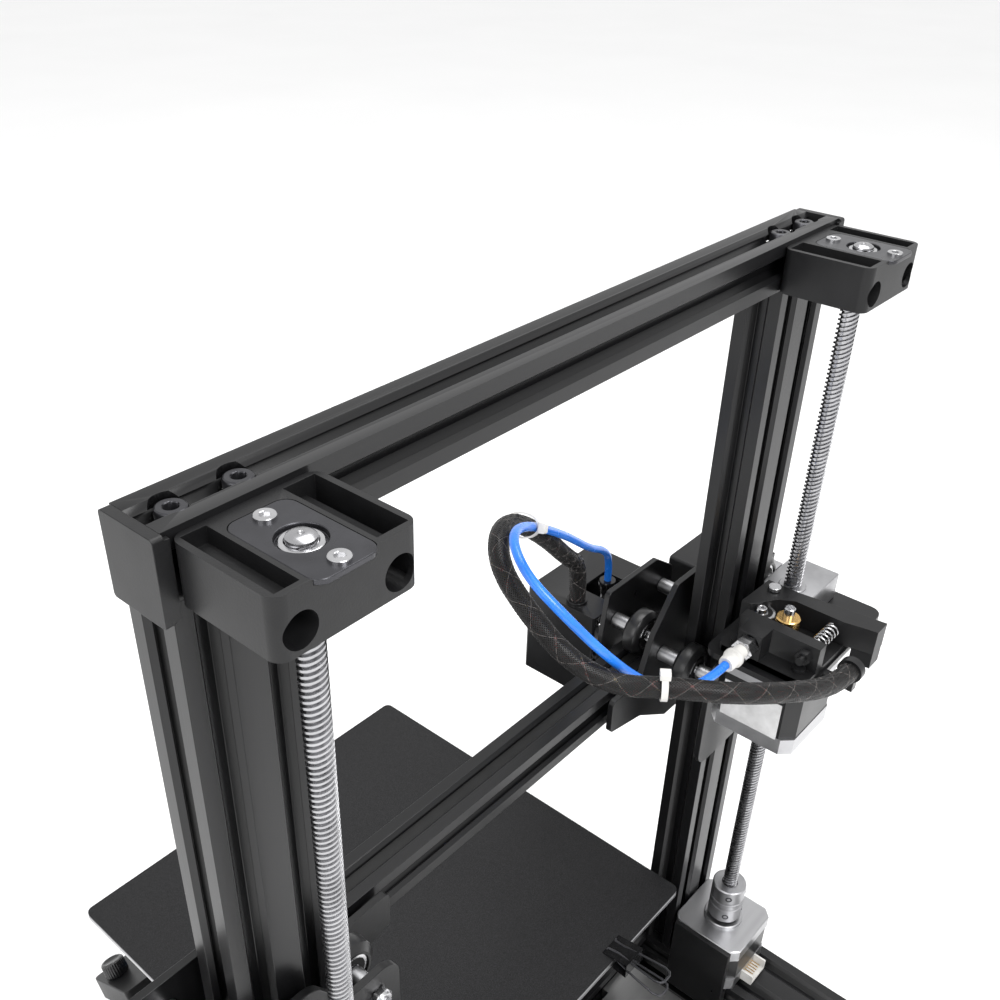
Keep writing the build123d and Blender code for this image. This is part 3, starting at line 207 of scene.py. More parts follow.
def sheet_shader():
    """Build sheet: black, with a very fine sparkling grain."""
    made = Shader("build_sheet_face", (0.014, 0.014, 0.015), 0.6, specular=0.22)
    grain = made.noise(3400, detail=2.0)
    made.link(made.ramp(grain, (0.005, 0.005, 0.0055), (0.036, 0.036, 0.038), 0.45, 0.74),
              made.surface.inputs["Base Color"])
    made.vary_roughness(made.noise(18), 0.06)
    made.bump(made.cells(1600), 0.00006, 0.8)
    return made.material


def wire_shader():
    """Bundle of wires behind the braid: dark, with stretches of red and yellow."""
    made = Shader("sleeve_wires", (0.02, 0.008, 0.007), 0.5)
    texture = made.node("ShaderNodeTexNoise", Scale=120.0, Detail=1.0)
    made.link(made.place((1.0, 1.0, 1.0)), texture.inputs["Vector"])
    ramp = made.node("ShaderNodeValToRGB")
    ramp.color_ramp.interpolation = "CONSTANT"
    stops = ((0.0, (0.012, 0.011, 0.011)), (0.44, (0.34, 0.012, 0.01)), (0.56, (0.015, 0.013, 0.013)),
             (0.62, (0.3, 0.2, 0.02)), (0.66, (0.012, 0.012, 0.012)))
    ramp.color_ramp.elements[0].position = stops[0][0]
    ramp.color_ramp.elements[0].color = (*stops[0][1], 1.0)
    ramp.color_ramp.elements[1].position = stops[1][0]
    ramp.color_ramp.elements[1].color = (*stops[1][1], 1.0)
    for position, colour in stops[2:]:
        ramp.color_ramp.elements.new(position).color = (*colour, 1.0)
    made.link(texture.outputs["Fac"], ramp.inputs["Fac"])
    made.link(ramp.outputs["Color"], made.surface.inputs["Base Color"])
    made.bump(made.noise(500), 0.0001, 0.6)
    return made.material


def tube_shader():
    """Slippery blue tube that lets a little light through."""
    made = Shader("tube_blue", (0.012, 0.16, 0.66), 0.26, specular=0.6)
    made.vary_colour(made.noise(90), 0.12)
    made.vary_roughness(made.noise(200), 0.05)
    made.bump(made.noise(700), 0.00002, 0.4)
    made.surface.inputs["Subsurface Weight"].default_value = 0.15
    made.surface.inputs["Subsurface Radius"].default_value = (0.0006, 0.0008, 0.0016)
    return made.material


def wheel_shader():
    """Turned black polymer."""
    made = Shader("wheel_polymer", (0.008, 0.008, 0.0085), 0.3, specular=0.45)
    made.vary_colour(made.noise(200), 0.2)
    made.vary_roughness(made.noise(120), 0.06)
    made.bump(made.noise(1400), 0.00003, 0.5)
    return made.material


def lamination_shader():
    """Stacked stator sheets: fine lines round the motor."""
    made = Shader("motor_stack", (0.006, 0.006, 0.0065), 0.32, specular=0.35)
    made.vary_colour(made.noise(80), 0.25)
    made.vary_roughness(made.noise(60), 0.08)
    made.bump(made.noise(500, (0.05, 0.05, 6.0)), 0.00005, 0.5)
    return made.material


bar_x = bar_shader("anodised_along_x", (0.04, 1.0, 1.0))
bar_y = bar_shader("anodised_along_y", (1.0, 0.04, 1.0))
bar_z = bar_shader("anodised_along_z", (1.0, 1.0, 0.04))
black_plastic = plastic_shader("moulded_black", (0.007, 0.007, 0.0075), 0.4)
glossy_black = plastic_shader("glossy_black", (0.006, 0.006, 0.0065), 0.2, 900.0, 0.00001, 0.5)
white_plastic = plastic_shader("moulded_white", (0.55, 0.54, 0.52), 0.38)
red_plastic = plastic_shader("moulded_red", (0.38, 0.012, 0.01), 0.3)
rubber = plastic_shader("rubber_black", (0.008, 0.008, 0.008), 0.7, 1500.0, 0.00006)
belt_rubber = plastic_shader("belt_rubber", (0.008, 0.008, 0.008), 0.6, 2500.0, 0.00004)
plate_black = coated_shader("coated_black", (0.006, 0.006, 0.0065), 0.3)
supply_metal = metal_shader("supply_metal", (0.3, 0.3, 0.3), 0.38, (0.1, 1.0, 1.0))
steel = metal_shader("screw_steel", (0.5, 0.5, 0.51), 0.22)
dark_steel = metal_shader("dark_steel", (0.05, 0.05, 0.055), 0.3, metallic=0.8)
thread_steel = metal_shader("thread_steel", (0.36, 0.36, 0.37), 0.26)
cast_metal = metal_shader("cast_metal", (0.36, 0.36, 0.37), 0.38)
bare_aluminium = metal_shader("bare_aluminium", (0.4, 0.4, 0.41), 0.34, (0.08, 1.0, 1.0))
brass = metal_shader("brass", (0.62, 0.4, 0.15), 0.26)
wheel_polymer = wheel_shader()
motor_stack = lamination_shader()
sheet_face = sheet_shader()
wire_bundle = wire_shader()
tube_blue = tube_shader()
braid_black = plastic_shader("braid_black", (0.007, 0.0065, 0.0065), 0.42, 1800.0, 0.00003)
# Pale braid colour: painted highlight for the small glints on the black sleeve, not white yarn.
braid_painted_glint = plastic_shader("braid_painted_glint", (0.12, 0.11, 0.105), 0.4)
label_white = plastic_shader("label_white", (0.52, 0.52, 0.52), 0.5, 1800.0, 0.00001)
screen_glass = plastic_shader("screen_glass", (0.02, 0.05, 0.09), 0.12, 600.0, 0.000005)

# ---- Mesh helpers ---------------------------------------------------------------------------------


def make(name, bm, material, body=None, replaces=(), sharp=32.0):
    """Turns a bmesh into a piece that rides on a body."""
    bmesh.ops.recalc_face_normals(bm, faces=bm.faces)
    mesh = bpy.data.meshes.new(name)
    bm.to_mesh(mesh)
    bm.free()
    mesh.polygons.foreach_set("use_smooth", [True] * len(mesh.polygons))
    mesh.set_sharp_from_angle(angle=radians(sharp))
    mesh.materials.append(material)
    piece = bpy.data.objects.new(name, mesh)
    scene.collection.objects.link(piece)
    if body:
        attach(piece, body)
    if replaces:
        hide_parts(*replaces)
    return piece


def islands(bm):
    """Groups of vertices that hang together, one for each separate solid."""
    seen = set()
    groups = []
    for start in bm.verts:
        if start in seen:
            continue
        seen.add(start)
        group = [start]
        for vertex in group:
            for edge in vertex.link_edges:
                other = edge.other_vert(vertex)
                if other not in seen:
                    seen.add(other)
                    group.append(other)
        groups.append(group)
    return groups


def corners_of(group):
    """Low and high corner of a group of vertices."""
    return tuple(Vector(pick(vertex.co[k] for vertex in group) for k in range(3)) for pick in (min, max))


def cad_mesh(node, merge=2e-6):
    """The mesh of a CAD node, with the vertices that its faces share joined."""
    bm = bmesh.new()
    bm.from_mesh(frame["nodes"][node].data)
    bmesh.ops.remove_doubles(bm, verts=bm.verts, dist=merge)
    return bm


def solids(node):
    """Low and high corner of each separate solid of a CAD node."""
    bm = cad_mesh(node, 1e-6)
    boxes = [corners_of(group) for group in islands(bm)]
    bm.free()
    return boxes


def middle(corners):
    return (corners[0] + corners[1]) / 2


def at_height(spot, height):
    """The point above or below a spot."""
    return Vector((spot.x, spot.y, height))


def at_depth(spot, depth):
    """The point in front of or behind a spot."""
    return Vector((spot.x, depth, spot.z))


def axes_for(axis):
    """Two directions square to an axis."""
    axis = Vector(axis).normalized()
    helper = AXIS_X if abs(axis.x) < 0.9 else AXIS_Y
    side = axis.cross(helper).normalized()
    return side, axis.cross(side)


def join(bm, rings, closed=False):
    """Adds faces between rings of vertices; a ring of one vertex is a tip."""
    for first, second in zip(rings, rings[1:] + rings[:1] if closed else rings[1:]):
        count = max(len(first), len(second))
        for step in range(count):
            after = (step + 1) % count
            corners = (first[step % len(first)], first[after % len(first)],
                       second[after % len(second)], second[step % len(second)])
            distinct = list(dict.fromkeys(corners))
            if len(distinct) > 2:
                bm.faces.new(distinct)


def spoke(side, up, radius, angle):
    """The way from the middle of a circle to its rim."""
    return side * (radius * cos(angle)) + up * (radius * sin(angle))


def outline_radius(radius, angle, shape):
    """Radius of a round, hexagonal or lobed outline at one angle."""
    if shape is None:
        return radius
    if shape == "hex":
        return radius / cos((angle + pi / 6) % (pi / 3) - pi / 6)
    lobes, depth = shape
    return radius * (1 - depth * 0.5 * (1 - cos(lobes * angle)))


def lathe(bm, profile, centre, axis, segments=40, closed=False):
    """Turns a profile of (radius, height, shape) about an axis; a radius of zero closes an end."""
    centre = Vector(centre)
    axis = Vector(axis).normalized()
    side, up = axes_for(axis)
    rings = []
    for item in profile:
        radius, height = item[0], item[1]
        shape = item[2] if len(item) > 2 else None
        base = centre + axis * height
        if radius < 1e-7:
            rings.append([bm.verts.new(base)])
            continue
        ring = []
        for step in range(segments):
            angle = 2 * pi * step / segments
            ring.append(bm.verts.new(base + spoke(side, up, outline_radius(radius, angle, shape), angle)))
        rings.append(ring)
    join(bm, rings, closed)


def bevelled_box(bm, low, high, bevel=0.0004, segments=2):
    """Adds a box with rounded edges."""
    low, high = Vector(low), Vector(high)
    low, high = Vector(map(min, low, high)), Vector(map(max, low, high))
    made = bmesh.ops.create_cube(bm, size=1.0)
    extent = high - low
    bmesh.ops.scale(bm, vec=extent, verts=made["verts"])
    bmesh.ops.translate(bm, vec=(low + high) / 2, verts=made["verts"])
    edges = list({edge for vertex in made["verts"] for edge in vertex.link_edges})
    amount = min(bevel, min(extent) * 0.45)
    bmesh.ops.bevel(bm, geom=edges, offset=amount, segments=segments, profile=0.6, affect="EDGES")


def prism(bm, outline, origin, across, up, depth):
    """Extrudes an outline given in the directions across and up."""
    origin, across, up, depth = Vector(origin), Vector(across), Vector(up), Vector(depth)
    near = [bm.verts.new(origin + across * x + up * y) for x, y in outline]
    far = [bm.verts.new(vertex.co + depth) for vertex in near]
    bm.faces.new(near)
    bm.faces.new(list(reversed(far)))
    join(bm, [near, far])


def directions(points):
    """Unit direction at each point of a path."""
    found = []
    for step in range(len(points)):
        before = points[max(step - 1, 0)]
        after = points[min(step + 1, len(points) - 1)]
        found.append((after - before).normalized())
    return found


def carried_frames(points):
    """Direction, side and up at each point, turned as little as possible along the path."""
    along = directions(points)
    side = axes_for(along[0])[0]
    frames = []
    for direction in along:
        side = (side - direction * side.dot(direction)).normalized()
        frames.append((direction, side, direction.cross(side)))
    return frames


def tube(bm, points, radius, sides=12, capped=True, closed=False):
    """Adds a round tube along points."""
    frames = carried_frames(points)
    rings = []
    for point, (_, side, up) in zip(points, frames):
        ring = []
        for step in range(sides):
            angle = 2 * pi * step / sides
            ring.append(bm.verts.new(point + spoke(side, up, radius, angle)))
        rings.append(ring)
    join(bm, rings, closed)
    if capped and not closed:
        bm.faces.new(rings[0])
        bm.faces.new(list(reversed(rings[-1])))


def softened(node, material, width=0.35, segments=2, name=None, chosen=None, replaces=True):
    """Stands for a CAD node, or for its chosen solids, with the sharp edges rounded as real ones are."""
    bm = cad_mesh(node)
    if chosen:
        for group in islands(bm):
            if not chosen(*corners_of(group)):
                bmesh.ops.delete(bm, geom=group, context="VERTS")
    bmesh.ops.dissolve_limit(bm, angle_limit=radians(1.0), verts=bm.verts, edges=bm.edges)
    stands_for = (node,) if replaces else ()
    piece = make(name or node + "_shape", bm, material, body_of[node], stands_for)
    rounding = piece.modifiers.new("rounding", "BEVEL")
    rounding.width = width * mm
    rounding.segments = segments
    rounding.limit_method = "ANGLE"
    rounding.angle_limit = radians(35)
    return piece


def turned(name, profile, centre, axis, material, body, replaces=(), segments=40, closed=False):
    """A piece that is one turned shape."""
    bm = bmesh.new()
    lathe(bm, profile, centre, axis, segments, closed)
    make(name, bm, material, body, replaces)


# ---- Tube and sleeve ------------------------------------------------------------------------------

bowden_route = [
    (-0.0670, 0.1034, 0.3120),
    (-0.0500, 0.1034, 0.3120),
    (-0.0320, 0.0980, 0.3155),
    (-0.0170, 0.0900, 0.3270),
    (0.0010, 0.0830, 0.3480),
    (0.0120, 0.0720, 0.3660),
    (0.0150, 0.0570, 0.3770),
    (0.0090, 0.0440, 0.3830),
    (-0.0040, 0.0340, 0.3810),
    (-0.0290, 0.0240, 0.3670),
    (-0.0700, 0.0120, 0.3380),
    (-0.1040, 0.0030, 0.3105),
    (-0.1268, -0.0030, 0.2962),
    (-0.1365, -0.0050, 0.2850),
    (-0.1365, -0.0050, 0.2710),
]
harness_route = [
    (-0.1030, 0.1440, 0.3090),
    (-0.0900, 0.1440, 0.3095),
    (-0.0600, 0.1400, 0.3220),
    (-0.0290, 0.1270, 0.3330),
    (-0.0130, 0.1070, 0.3350),
    (-0.0010, 0.0890, 0.3330),
    (0.0080, 0.0715, 0.3430),
    (0.0115, 0.0540, 0.3590),
    (0.0085, 0.0370, 0.3700),
    (-0.0050, 0.0245, 0.3755),
    (-0.0275, 0.0160, 0.3665),
    (-0.0560, 0.0100, 0.3430),
    (-0.0840, 0.0040, 0.3150),
    (-0.1100, -0.0060, 0.2940),
    (-0.1100, -0.0060, 0.2720),
]


def spline_points(name, route):
    """Points of the smooth line that has the route as its control points."""
    curve = bpy.data.curves.new(name, "CURVE")
    curve.dimensions = "3D"
    spline = curve.splines.new("NURBS")
    spline.points.add(len(route) - 1)
    for point, place in zip(spline.points, route):
        point.co = (*place, 1.0)
    spline.order_u = 3
    spline.use_endpoint_u = True
    spline.resolution_u = 16
    holder = bpy.data.objects.new(name, curve)
    scene.collection.objects.link(holder)
    bpy.context.view_layer.update()
    mesh = bpy.data.meshes.new_from_object(holder)
    points = [vertex.co.copy() for vertex in mesh.vertices]
    bpy.data.objects.remove(holder)
    bpy.data.curves.remove(curve)
    bpy.data.meshes.remove(mesh)
    return points


def hangs_between(piece):
    """Bakes the placement of a piece that hangs between the gantry and the hot-end carriage into its mesh; it
    rides on no body.
    """
    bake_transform(piece)


bowden_points = spline_points("bowden_line", bowden_route)
bm = bmesh.new()
tube(bm, bowden_points, 2.0 * mm, sides=20)
bowden = make("bowden_tube_blue", bm, tube_blue, replaces=("bowden_tube",))
hangs_between(bowden)

sleeve_points = spline_points("harness_line", harness_route)
sleeve_frames = carried_frames(sleeve_points)
sleeve_radius = 4.5 * mm
strand_count = 24
strand_pitch = 30.0 * mm


def along_path(points):
    """Distance of each point from the start of the path."""
    lengths = [0.0]
    for a, b in zip(points, points[1:]):
        lengths.append(lengths[-1] + (b - a).length)
    return lengths


def resampled(points, step):
    """The same line at equal steps."""
    lengths = along_path(points)
    count = int(lengths[-1] / step)
    found = []
    index = 0
    for number in range(count + 1):
        target = lengths[-1] * number / count
        while index < len(points) - 2 and lengths[index + 1] < target:
            index += 1
        share = (target - lengths[index]) / max(lengths[index + 1] - lengths[index], 1e-9)
        found.append(points[index].lerp(points[index + 1], min(max(share, 0.0), 1.0)))
    return found


def braid_strands(bm, points, numbers, half_width, thickness):
    """Adds flat strands that wind both ways and pass over and under each other."""
    frames = carried_frames(points)
    lengths = along_path(points)
    top_share = 0.6
    for turn in (1, -1):
        for number in numbers:
            phase = 2 * pi * number / strand_count
            rings = []
            for point, (direction, side, up), distance in zip(points, frames, lengths):
                angle = phase + turn * 2 * pi * distance / strand_pitch
                weave = cos(strand_count * distance / strand_pitch * 2 * pi + pi * number * turn)
                radius = sleeve_radius - 0.42 * mm + turn * 0.16 * mm * weave
                outward = side * cos(angle) + up * sin(angle)
                around = up * cos(angle) - side * sin(angle)
                heading = (direction + around * (turn * 2 * pi * radius / strand_pitch)).normalized()
                across = heading.cross(outward).normalized()
                base = point + outward * radius
                raised = base + outward * thickness
                section = (base - across * half_width, raised - across * half_width * top_share,
                           raised + across * half_width * top_share, base + across * half_width)
                rings.append([bm.verts.new(place) for place in section])
            join(bm, rings)


fine_points = resampled(sleeve_points, 0.9 * mm)
bm = bmesh.new()
tube(bm, sleeve_points, sleeve_radius - 0.72 * mm, sides=18)
sleeve_core = make("harness_wires", bm, wire_bundle)
hangs_between(sleeve_core)
# Strands that carry the painted glint colour.
painted_glint_strands = (3, 15)
bm = bmesh.new()
braid_strands(bm, fine_points, [n for n in range(strand_count) if n not in painted_glint_strands], 0.33 * mm,
              0.22 * mm)
sleeve = make("harness_braid", bm, braid_black, replaces=("cable_harness",))
hangs_between(sleeve)
# Two thin pale strands wound through the weave: painted highlight for the glints that light makes on the braid.
bm = bmesh.new()
braid_strands(bm, fine_points, painted_glint_strands, 0.12 * mm, 0.24 * mm)
glints = make("harness_painted_glint_strands", bm, braid_painted_glint)
hangs_between(glints)


def cable_tie(name, centre, direction, half_width, half_height, lift):
    """A white nylon strap round an oval bundle, with its square lock."""
    direction = Vector(direction).normalized()
    lift = (Vector(lift) - direction * Vector(lift).dot(direction)).normalized()
    side = direction.cross(lift)
    bm = bmesh.new()
    strap = 1.3 * mm
    wall = 0.8 * mm
    count = 40
    rings = []
    for step in range(count):
        angle = 2 * pi * step / count
        inner = centre + side * (half_width * cos(angle)) + lift * (half_height * sin(angle))
        outer = inner + spoke(side, lift, wall, angle)
        rings.append([bm.verts.new(p) for p in (inner - direction * strap, outer - direction * strap,
                                                outer + direction * strap, inner + direction * strap)])
    join(bm, rings, closed=True)
    lock = centre + lift * (half_height + wall + 1.0 * mm)
    prism(bm, [(-2.2 * mm, -1.4 * mm), (2.2 * mm, -1.4 * mm), (2.2 * mm, 1.1 * mm), (1.6 * mm, 1.7 * mm),
               (-1.6 * mm, 1.7 * mm), (-2.2 * mm, 1.1 * mm)], lock - direction * 2.1 * mm, side, lift,
          direction * 4.2 * mm)
    hangs_between(make(name, bm, white_plastic))


def nearest(points, target):
    return min(range(len(points)), key=lambda k: (points[k] - target).length)


top_index = nearest(sleeve_points, Vector((-0.024, 0.018, 0.368)))
other_index = nearest(bowden_points, sleeve_points[top_index])
pair_middle = (sleeve_points[top_index] * 2 + bowden_points[other_index]) / 3
apart = bowden_points[other_index] - sleeve_points[top_index]
cable_tie("loop_tie", pair_middle + apart * 0.1, sleeve_frames[top_index][0], 4.9 * mm,
          (apart.length + 6.6 * mm) / 2, apart)
low_index = nearest(sleeve_points, Vector((-0.011, 0.105, 0.334)))
cable_tie("sleeve_tie", sleeve_points[low_index], sleeve_frames[low_index][0], 4.7 * mm, 4.7 * mm, AXIS_Z)

# ---- Bars -----------------------------------------------------------------------------------------

for node, material in (("base_side_rails", bar_y), ("base_cross_beams", bar_x), ("bed_rail", bar_y),
                       ("posts", bar_z), ("top_beam", bar_x), ("x_beam", bar_x)):
    softened(node, material, 0.3, 2)

# ---- Screws ---------------------------------------------------------------------------------------


def cap_head(bm, top, axis, radius, height, socket=2.0 * mm):
    """Button or cap head with a hexagonal socket; top is the middle of its face and axis points out."""
    chamfer = 0.5 * mm
    lathe(bm, [(0.0, -height), (radius, -height), (radius, -chamfer * 1.6),
               (radius - chamfer * 0.5, -chamfer * 0.5),
               (radius - chamfer * 1.3, 0.0), (socket + 0.35 * mm, 0.0), (socket, -0.25 * mm, "hex"),
               (socket, -height * 0.55, "hex"), (0.0, -height * 0.62)], top, axis, 36)


def countersunk_head(bm, top, axis, radius, height, socket=1.3 * mm):
    """Flat head with a hexagonal socket."""
    lathe(bm, [(0.0, -height), (radius, -height), (radius, -0.15 * mm), (radius - 0.15 * mm, 0.0),
               (socket + 0.25 * mm, 0.0), (socket, -0.15 * mm, "hex"), (socket, -height * 0.8, "hex"),
               (0.0, -height * 0.85)], top, axis, 36)


def shank(bm, start, axis, radius, length):
    lathe(bm, [(0.0, 0.0), (radius, 0.0), (radius, length), (0.0, length)], start, axis, 20)


def lock_nut(bm, face, axis, flat=4.0 * mm, height=3.6 * mm, bore=2.45 * mm):
    """Hexagonal nut with a domed collar, seated on a face."""
    lathe(bm, [(bore, 0.0), (flat * 0.97, 0.0), (flat, 0.35 * mm, "hex"), (flat, height * 0.68, "hex"),
               (flat * 0.95, height * 0.76), (flat * 0.86, height * 0.98), (flat * 0.75, height),
               (bore, height)], face, axis, 48, closed=True)


bm = bmesh.new()
plate_heads = bmesh.new()
for low, high in solids("frame_screws"):
    extent = high - low
    centre = (low + high) / 2
    if extent.z > 10 * mm:
        top = at_height(centre, high.z)
        cap_head(bm, top, AXIS_Z, extent.x / 2, 4.9 * mm, 1.9 * mm)
        shank(bm, at_height(centre, low.z), AXIS_Z, 2.4 * mm, extent.z - 5.0 * mm)
    elif extent.y > 8 * mm:
        top = at_depth(centre, high.y)
        cap_head(bm, top, AXIS_Y, extent.x / 2, 4.9 * mm, 1.9 * mm)
        shank(bm, at_depth(centre, low.y), AXIS_Y, 2.4 * mm, 6.0 * mm)
    else:
        top = at_height(centre, high.z)
        countersunk_head(plate_heads, top, AXIS_Z, extent.x / 2, 0.9 * mm)
make("frame_screw_heads", bm, dark_steel, "frame", ("frame_screws",))
make("end_plate_screw_heads", plate_heads, steel, "frame")

# ---- Leadscrews -----------------------------------------------------------------------------------

screw_radius = 4.0 * mm
thread_pitch = 2.0 * mm
thread_starts = 4
thread_root = 3.15 * mm


def thread(bm, centre, low, high):
    """Adds a four-start trapezoidal thread on a vertical axis."""
    around = 48
    breaks = ((0.0, thread_root), (0.32, thread_root), (0.46, screw_radius), (0.86, screw_radius))
    lead = thread_pitch * thread_starts
    turns = int((high - low) / thread_pitch) + 2 * thread_starts + 2
    rows = []
    for number in range(turns):
        for share, radius in breaks:
            rows.append((low - lead + (number + share) * thread_pitch, radius))
    grid = []
    for height, radius in rows:
        ring = []
        for step in range(around + 1):
            angle = 2 * pi * step / around
            z = min(max(height + lead * step / around, low), high)
            ring.append((centre.x + radius * cos(angle), centre.y + radius * sin(angle), z))
        grid.append(ring)
    shift = thread_starts * len(breaks)
    verts = [[bm.verts.new(place) for place in ring[:-1]] for ring in grid]
    for row in range(len(rows) - shift - 1):
        for step in range(around):
            if step < around - 1:
                corners = (verts[row][step], verts[row][step + 1], verts[row + 1][step + 1],
                           verts[row + 1][step])
            else:
                corners = (verts[row][step], verts[row + shift][0], verts[row + 1 + shift][0],
                           verts[row + 1][step])
            heights = [corner.co.z for corner in corners]
            if max(heights) - min(heights) > 1e-7:
                bm.faces.new(corners)


def leadscrew(side, node):
    low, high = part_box(node)
    centre = (low + high) / 2
    coupler_radius = (high.x - low.x) / 2
    coupler_low = low.z + 7.5 * mm
    coupler_high = coupler_low + 25.0 * mm
    body = body_of[node]
    bm = bmesh.new()
    thread(bm, centre, coupler_high - 2.0 * mm, high.z - 1.4 * mm)
    loose = [vertex for vertex in bm.verts if not vertex.link_faces]
    bmesh.ops.delete(bm, geom=loose, context="VERTS")
    top = at_height(centre, high.z)
    lathe(bm, [(thread_root, -3.0 * mm), (screw_radius, -1.6 * mm), (screw_radius - 0.15 * mm, -0.9 * mm),
               (2.7 * mm, -0.1 * mm), (0.9 * mm, 0.0), (0.5 * mm, -0.5 * mm), (0.0, -0.7 * mm)], top,
          AXIS_Z, 40)
    make(f"leadscrew_thread_{side}", bm, thread_steel, body, (node,))
    bm = bmesh.new()
    foot = at_height(centre, coupler_low)
    length = coupler_high - coupler_low
    split = length / 2
    rim = 0.6 * mm
    lathe(bm, [(3.2 * mm, 0.0), (coupler_radius - rim, 0.0), (coupler_radius, rim),
               (coupler_radius, split - 3.0 * mm), (coupler_radius - 0.9 * mm, split - 2.6 * mm),
               (coupler_radius - 0.9 * mm, split - 2.0 * mm), (coupler_radius, split - 1.6 * mm),
               (coupler_radius, split + 1.6 * mm), (coupler_radius - 0.9 * mm, split + 2.0 * mm),
               (coupler_radius - 0.9 * mm, split + 2.6 * mm), (coupler_radius, split + 3.0 * mm),
               (coupler_radius, length - rim), (coupler_radius - rim, length), (4.6 * mm, length),
               (4.2 * mm, length - 0.5 * mm), (3.9 * mm, length - 4.0 * mm)], foot, AXIS_Z, 56)
    make(f"coupler_{side}", bm, cast_metal, body)
    bm = bmesh.new()
    for height in (5.0 * mm, length - 5.0 * mm):
        for turn in (30, 120):
            outward = Vector((cos(radians(turn)), sin(radians(turn)), 0))
            spot = foot + AXIS_Z * height + outward * (coupler_radius + 0.05 * mm)
            lathe(bm, [(0.0, -0.6 * mm), (1.9 * mm, -0.6 * mm), (1.9 * mm, -0.02 * mm), (1.6 * mm, 0.0),
                       (1.05 * mm, 0.0), (0.95 * mm, -0.1 * mm, "hex"), (0.95 * mm, -0.5 * mm, "hex"),
                       (0.0, -0.55 * mm)], spot, outward, 24)
    shank(bm, at_height(centre, low.z), AXIS_Z, 2.5 * mm, 10.0 * mm)
    make(f"coupler_screws_{side}", bm, dark_steel, body)


leadscrew("left", "leadscrew_left")
leadscrew("right", "leadscrew_right")

# ---- Stepper motors -------------------------------------------------------------------------------

motor_half = 21.15 * mm
motor_screw_place = 15.5 * mm


def square_ring(bm, centre, side, up, half, cut):
    """Square outline with cut corners."""
    h, c = half, half - cut
    outline = ((c, -h), (h, -c), (h, c), (c, h), (-c, h), (-h, c), (-h, -c), (-c, -h))
    return [bm.verts.new(centre + side * x + up * y) for x, y in outline]


def square_stack(bm, face, axis, side, levels, cut):
    """Adds a square solid through levels of (half size, depth behind the face)."""
    up = axis.cross(side)
    rings = [square_ring(bm, face - axis * depth, side, up, half, cut) for half, depth in levels]
    join(bm, rings)
    bm.faces.new(rings[0])
    bm.faces.new(list(reversed(rings[-1])))


def stepper(name, body, face, axis, side, length, socket=None, replaces=()):
    """A square stepper motor: bare metal ends, black sheet stack, pilot, screws and cable socket."""
    axis, side = Vector(axis), Vector(side)
    up = axis.cross(side)
    front, rear = 8.0 * mm, 9.0 * mm
    bevel = 0.5 * mm
    bm = bmesh.new()
    square_stack(bm, face, axis, side, ((motor_half - bevel, 0.0), (motor_half, bevel),
                                        (motor_half, front)), 4.6 * mm)
    square_stack(bm, face, axis, side, ((motor_half, length - rear), (motor_half, length - bevel),
                                        (motor_half - bevel, length)), 4.6 * mm)
    lathe(bm, [(4.3 * mm, -0.3 * mm), (4.3 * mm, 1.6 * mm), (4.7 * mm, 2.0 * mm), (10.6 * mm, 2.0 * mm),
               (11.0 * mm, 1.6 * mm), (11.0 * mm, -0.3 * mm)], face, axis, 48, closed=True)
    make(name + "_ends", bm, bare_aluminium, body, replaces)
    bm = bmesh.new()
    square_stack(bm, face, axis, side, ((motor_half - 0.25 * mm, front),
                                        (motor_half - 0.25 * mm, length - rear)),
                 5.6 * mm)
    make(name + "_stack", bm, motor_stack, body)
    bm = bmesh.new()
    for a in (-1, 1):
        for b in (-1, 1):
            corner = side * (a * motor_screw_place) + up * (b * motor_screw_place)
            spot = face + corner - axis * (length - 0.02 * mm)
            lathe(bm, [(2.6 * mm, 0.6 * mm), (2.6 * mm, 0.0), (1.5 * mm, 0.0), (1.0 * mm, 0.5 * mm),
                       (0.0, 0.6 * mm)], spot, axis, 20)
    make(name + "_screws", bm, dark_steel, body)
    if socket is not None:
        outward = Vector(socket)
        across = axis.cross(outward)
        base = face - axis * (length - 5.2 * mm) + outward * (motor_half - 0.2 * mm)
        bm = bmesh.new()
        outline = [(-8.0 * mm, -3.6 * mm), (8.0 * mm, -3.6 * mm), (8.0 * mm, 3.6 * mm),
                   (6.8 * mm, 3.6 * mm),
                   (6.8 * mm, -2.4 * mm), (-6.8 * mm, -2.4 * mm), (-6.8 * mm, 3.6 * mm),
                   (-8.0 * mm, 3.6 * mm)]
        prism(bm, outline, base, across, axis, outward * 7.4 * mm)
        make(name + "_socket", bm, white_plastic, body)
        bm = bmesh.new()
        for pin in range(6):
            spot = base + across * ((pin - 2.5) * 2.0 * mm)
            tube(bm, [spot, spot + outward * 5.5 * mm], 0.3 * mm, 6)
        make(name + "_pins", bm, brass, body)


motor_length = 34.0 * mm
for side_name, node in (("left", "leadscrew_left"), ("right", "leadscrew_right")):
    centre = middle(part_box(node))
    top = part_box("z_motors")[1].z - 2.0 * mm
    stepper("z_motor_" + side_name, "frame", at_height(centre, top), AXIS_Z, AXIS_X, motor_length,
            AXIS_Y, ("z_motors",) if side_name == "left" else ())
low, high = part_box("x_motor")
x_motor_middle = middle((low, high))
x_motor_face = at_depth(x_motor_middle, low.y + 2.0 * mm)
stepper("x_motor", "gantry", x_motor_face, -AXIS_Y, AXIS_X, motor_length, -AXIS_Z, ("x_motor",))
low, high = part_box("feeder_motor")
feeder_axis = middle((low, high))
feeder_face = at_height(feeder_axis, high.z - 2.0 * mm)
stepper("feeder_motor", "gantry", feeder_face, AXIS_Z, AXIS_X, feeder_face.z - low.z, None,
        ("feeder_motor",))
bm = bmesh.new()
label_low = Vector((feeder_axis.x + motor_half - 0.35 * mm, feeder_axis.y - 15.0 * mm, low.z + 8.0 * mm))
bevelled_box(bm, label_low, label_low + Vector((0.5 * mm, 29.0 * mm, 20.0 * mm)), 0.15 * mm)
make("motor_label", bm, label_white, "gantry")

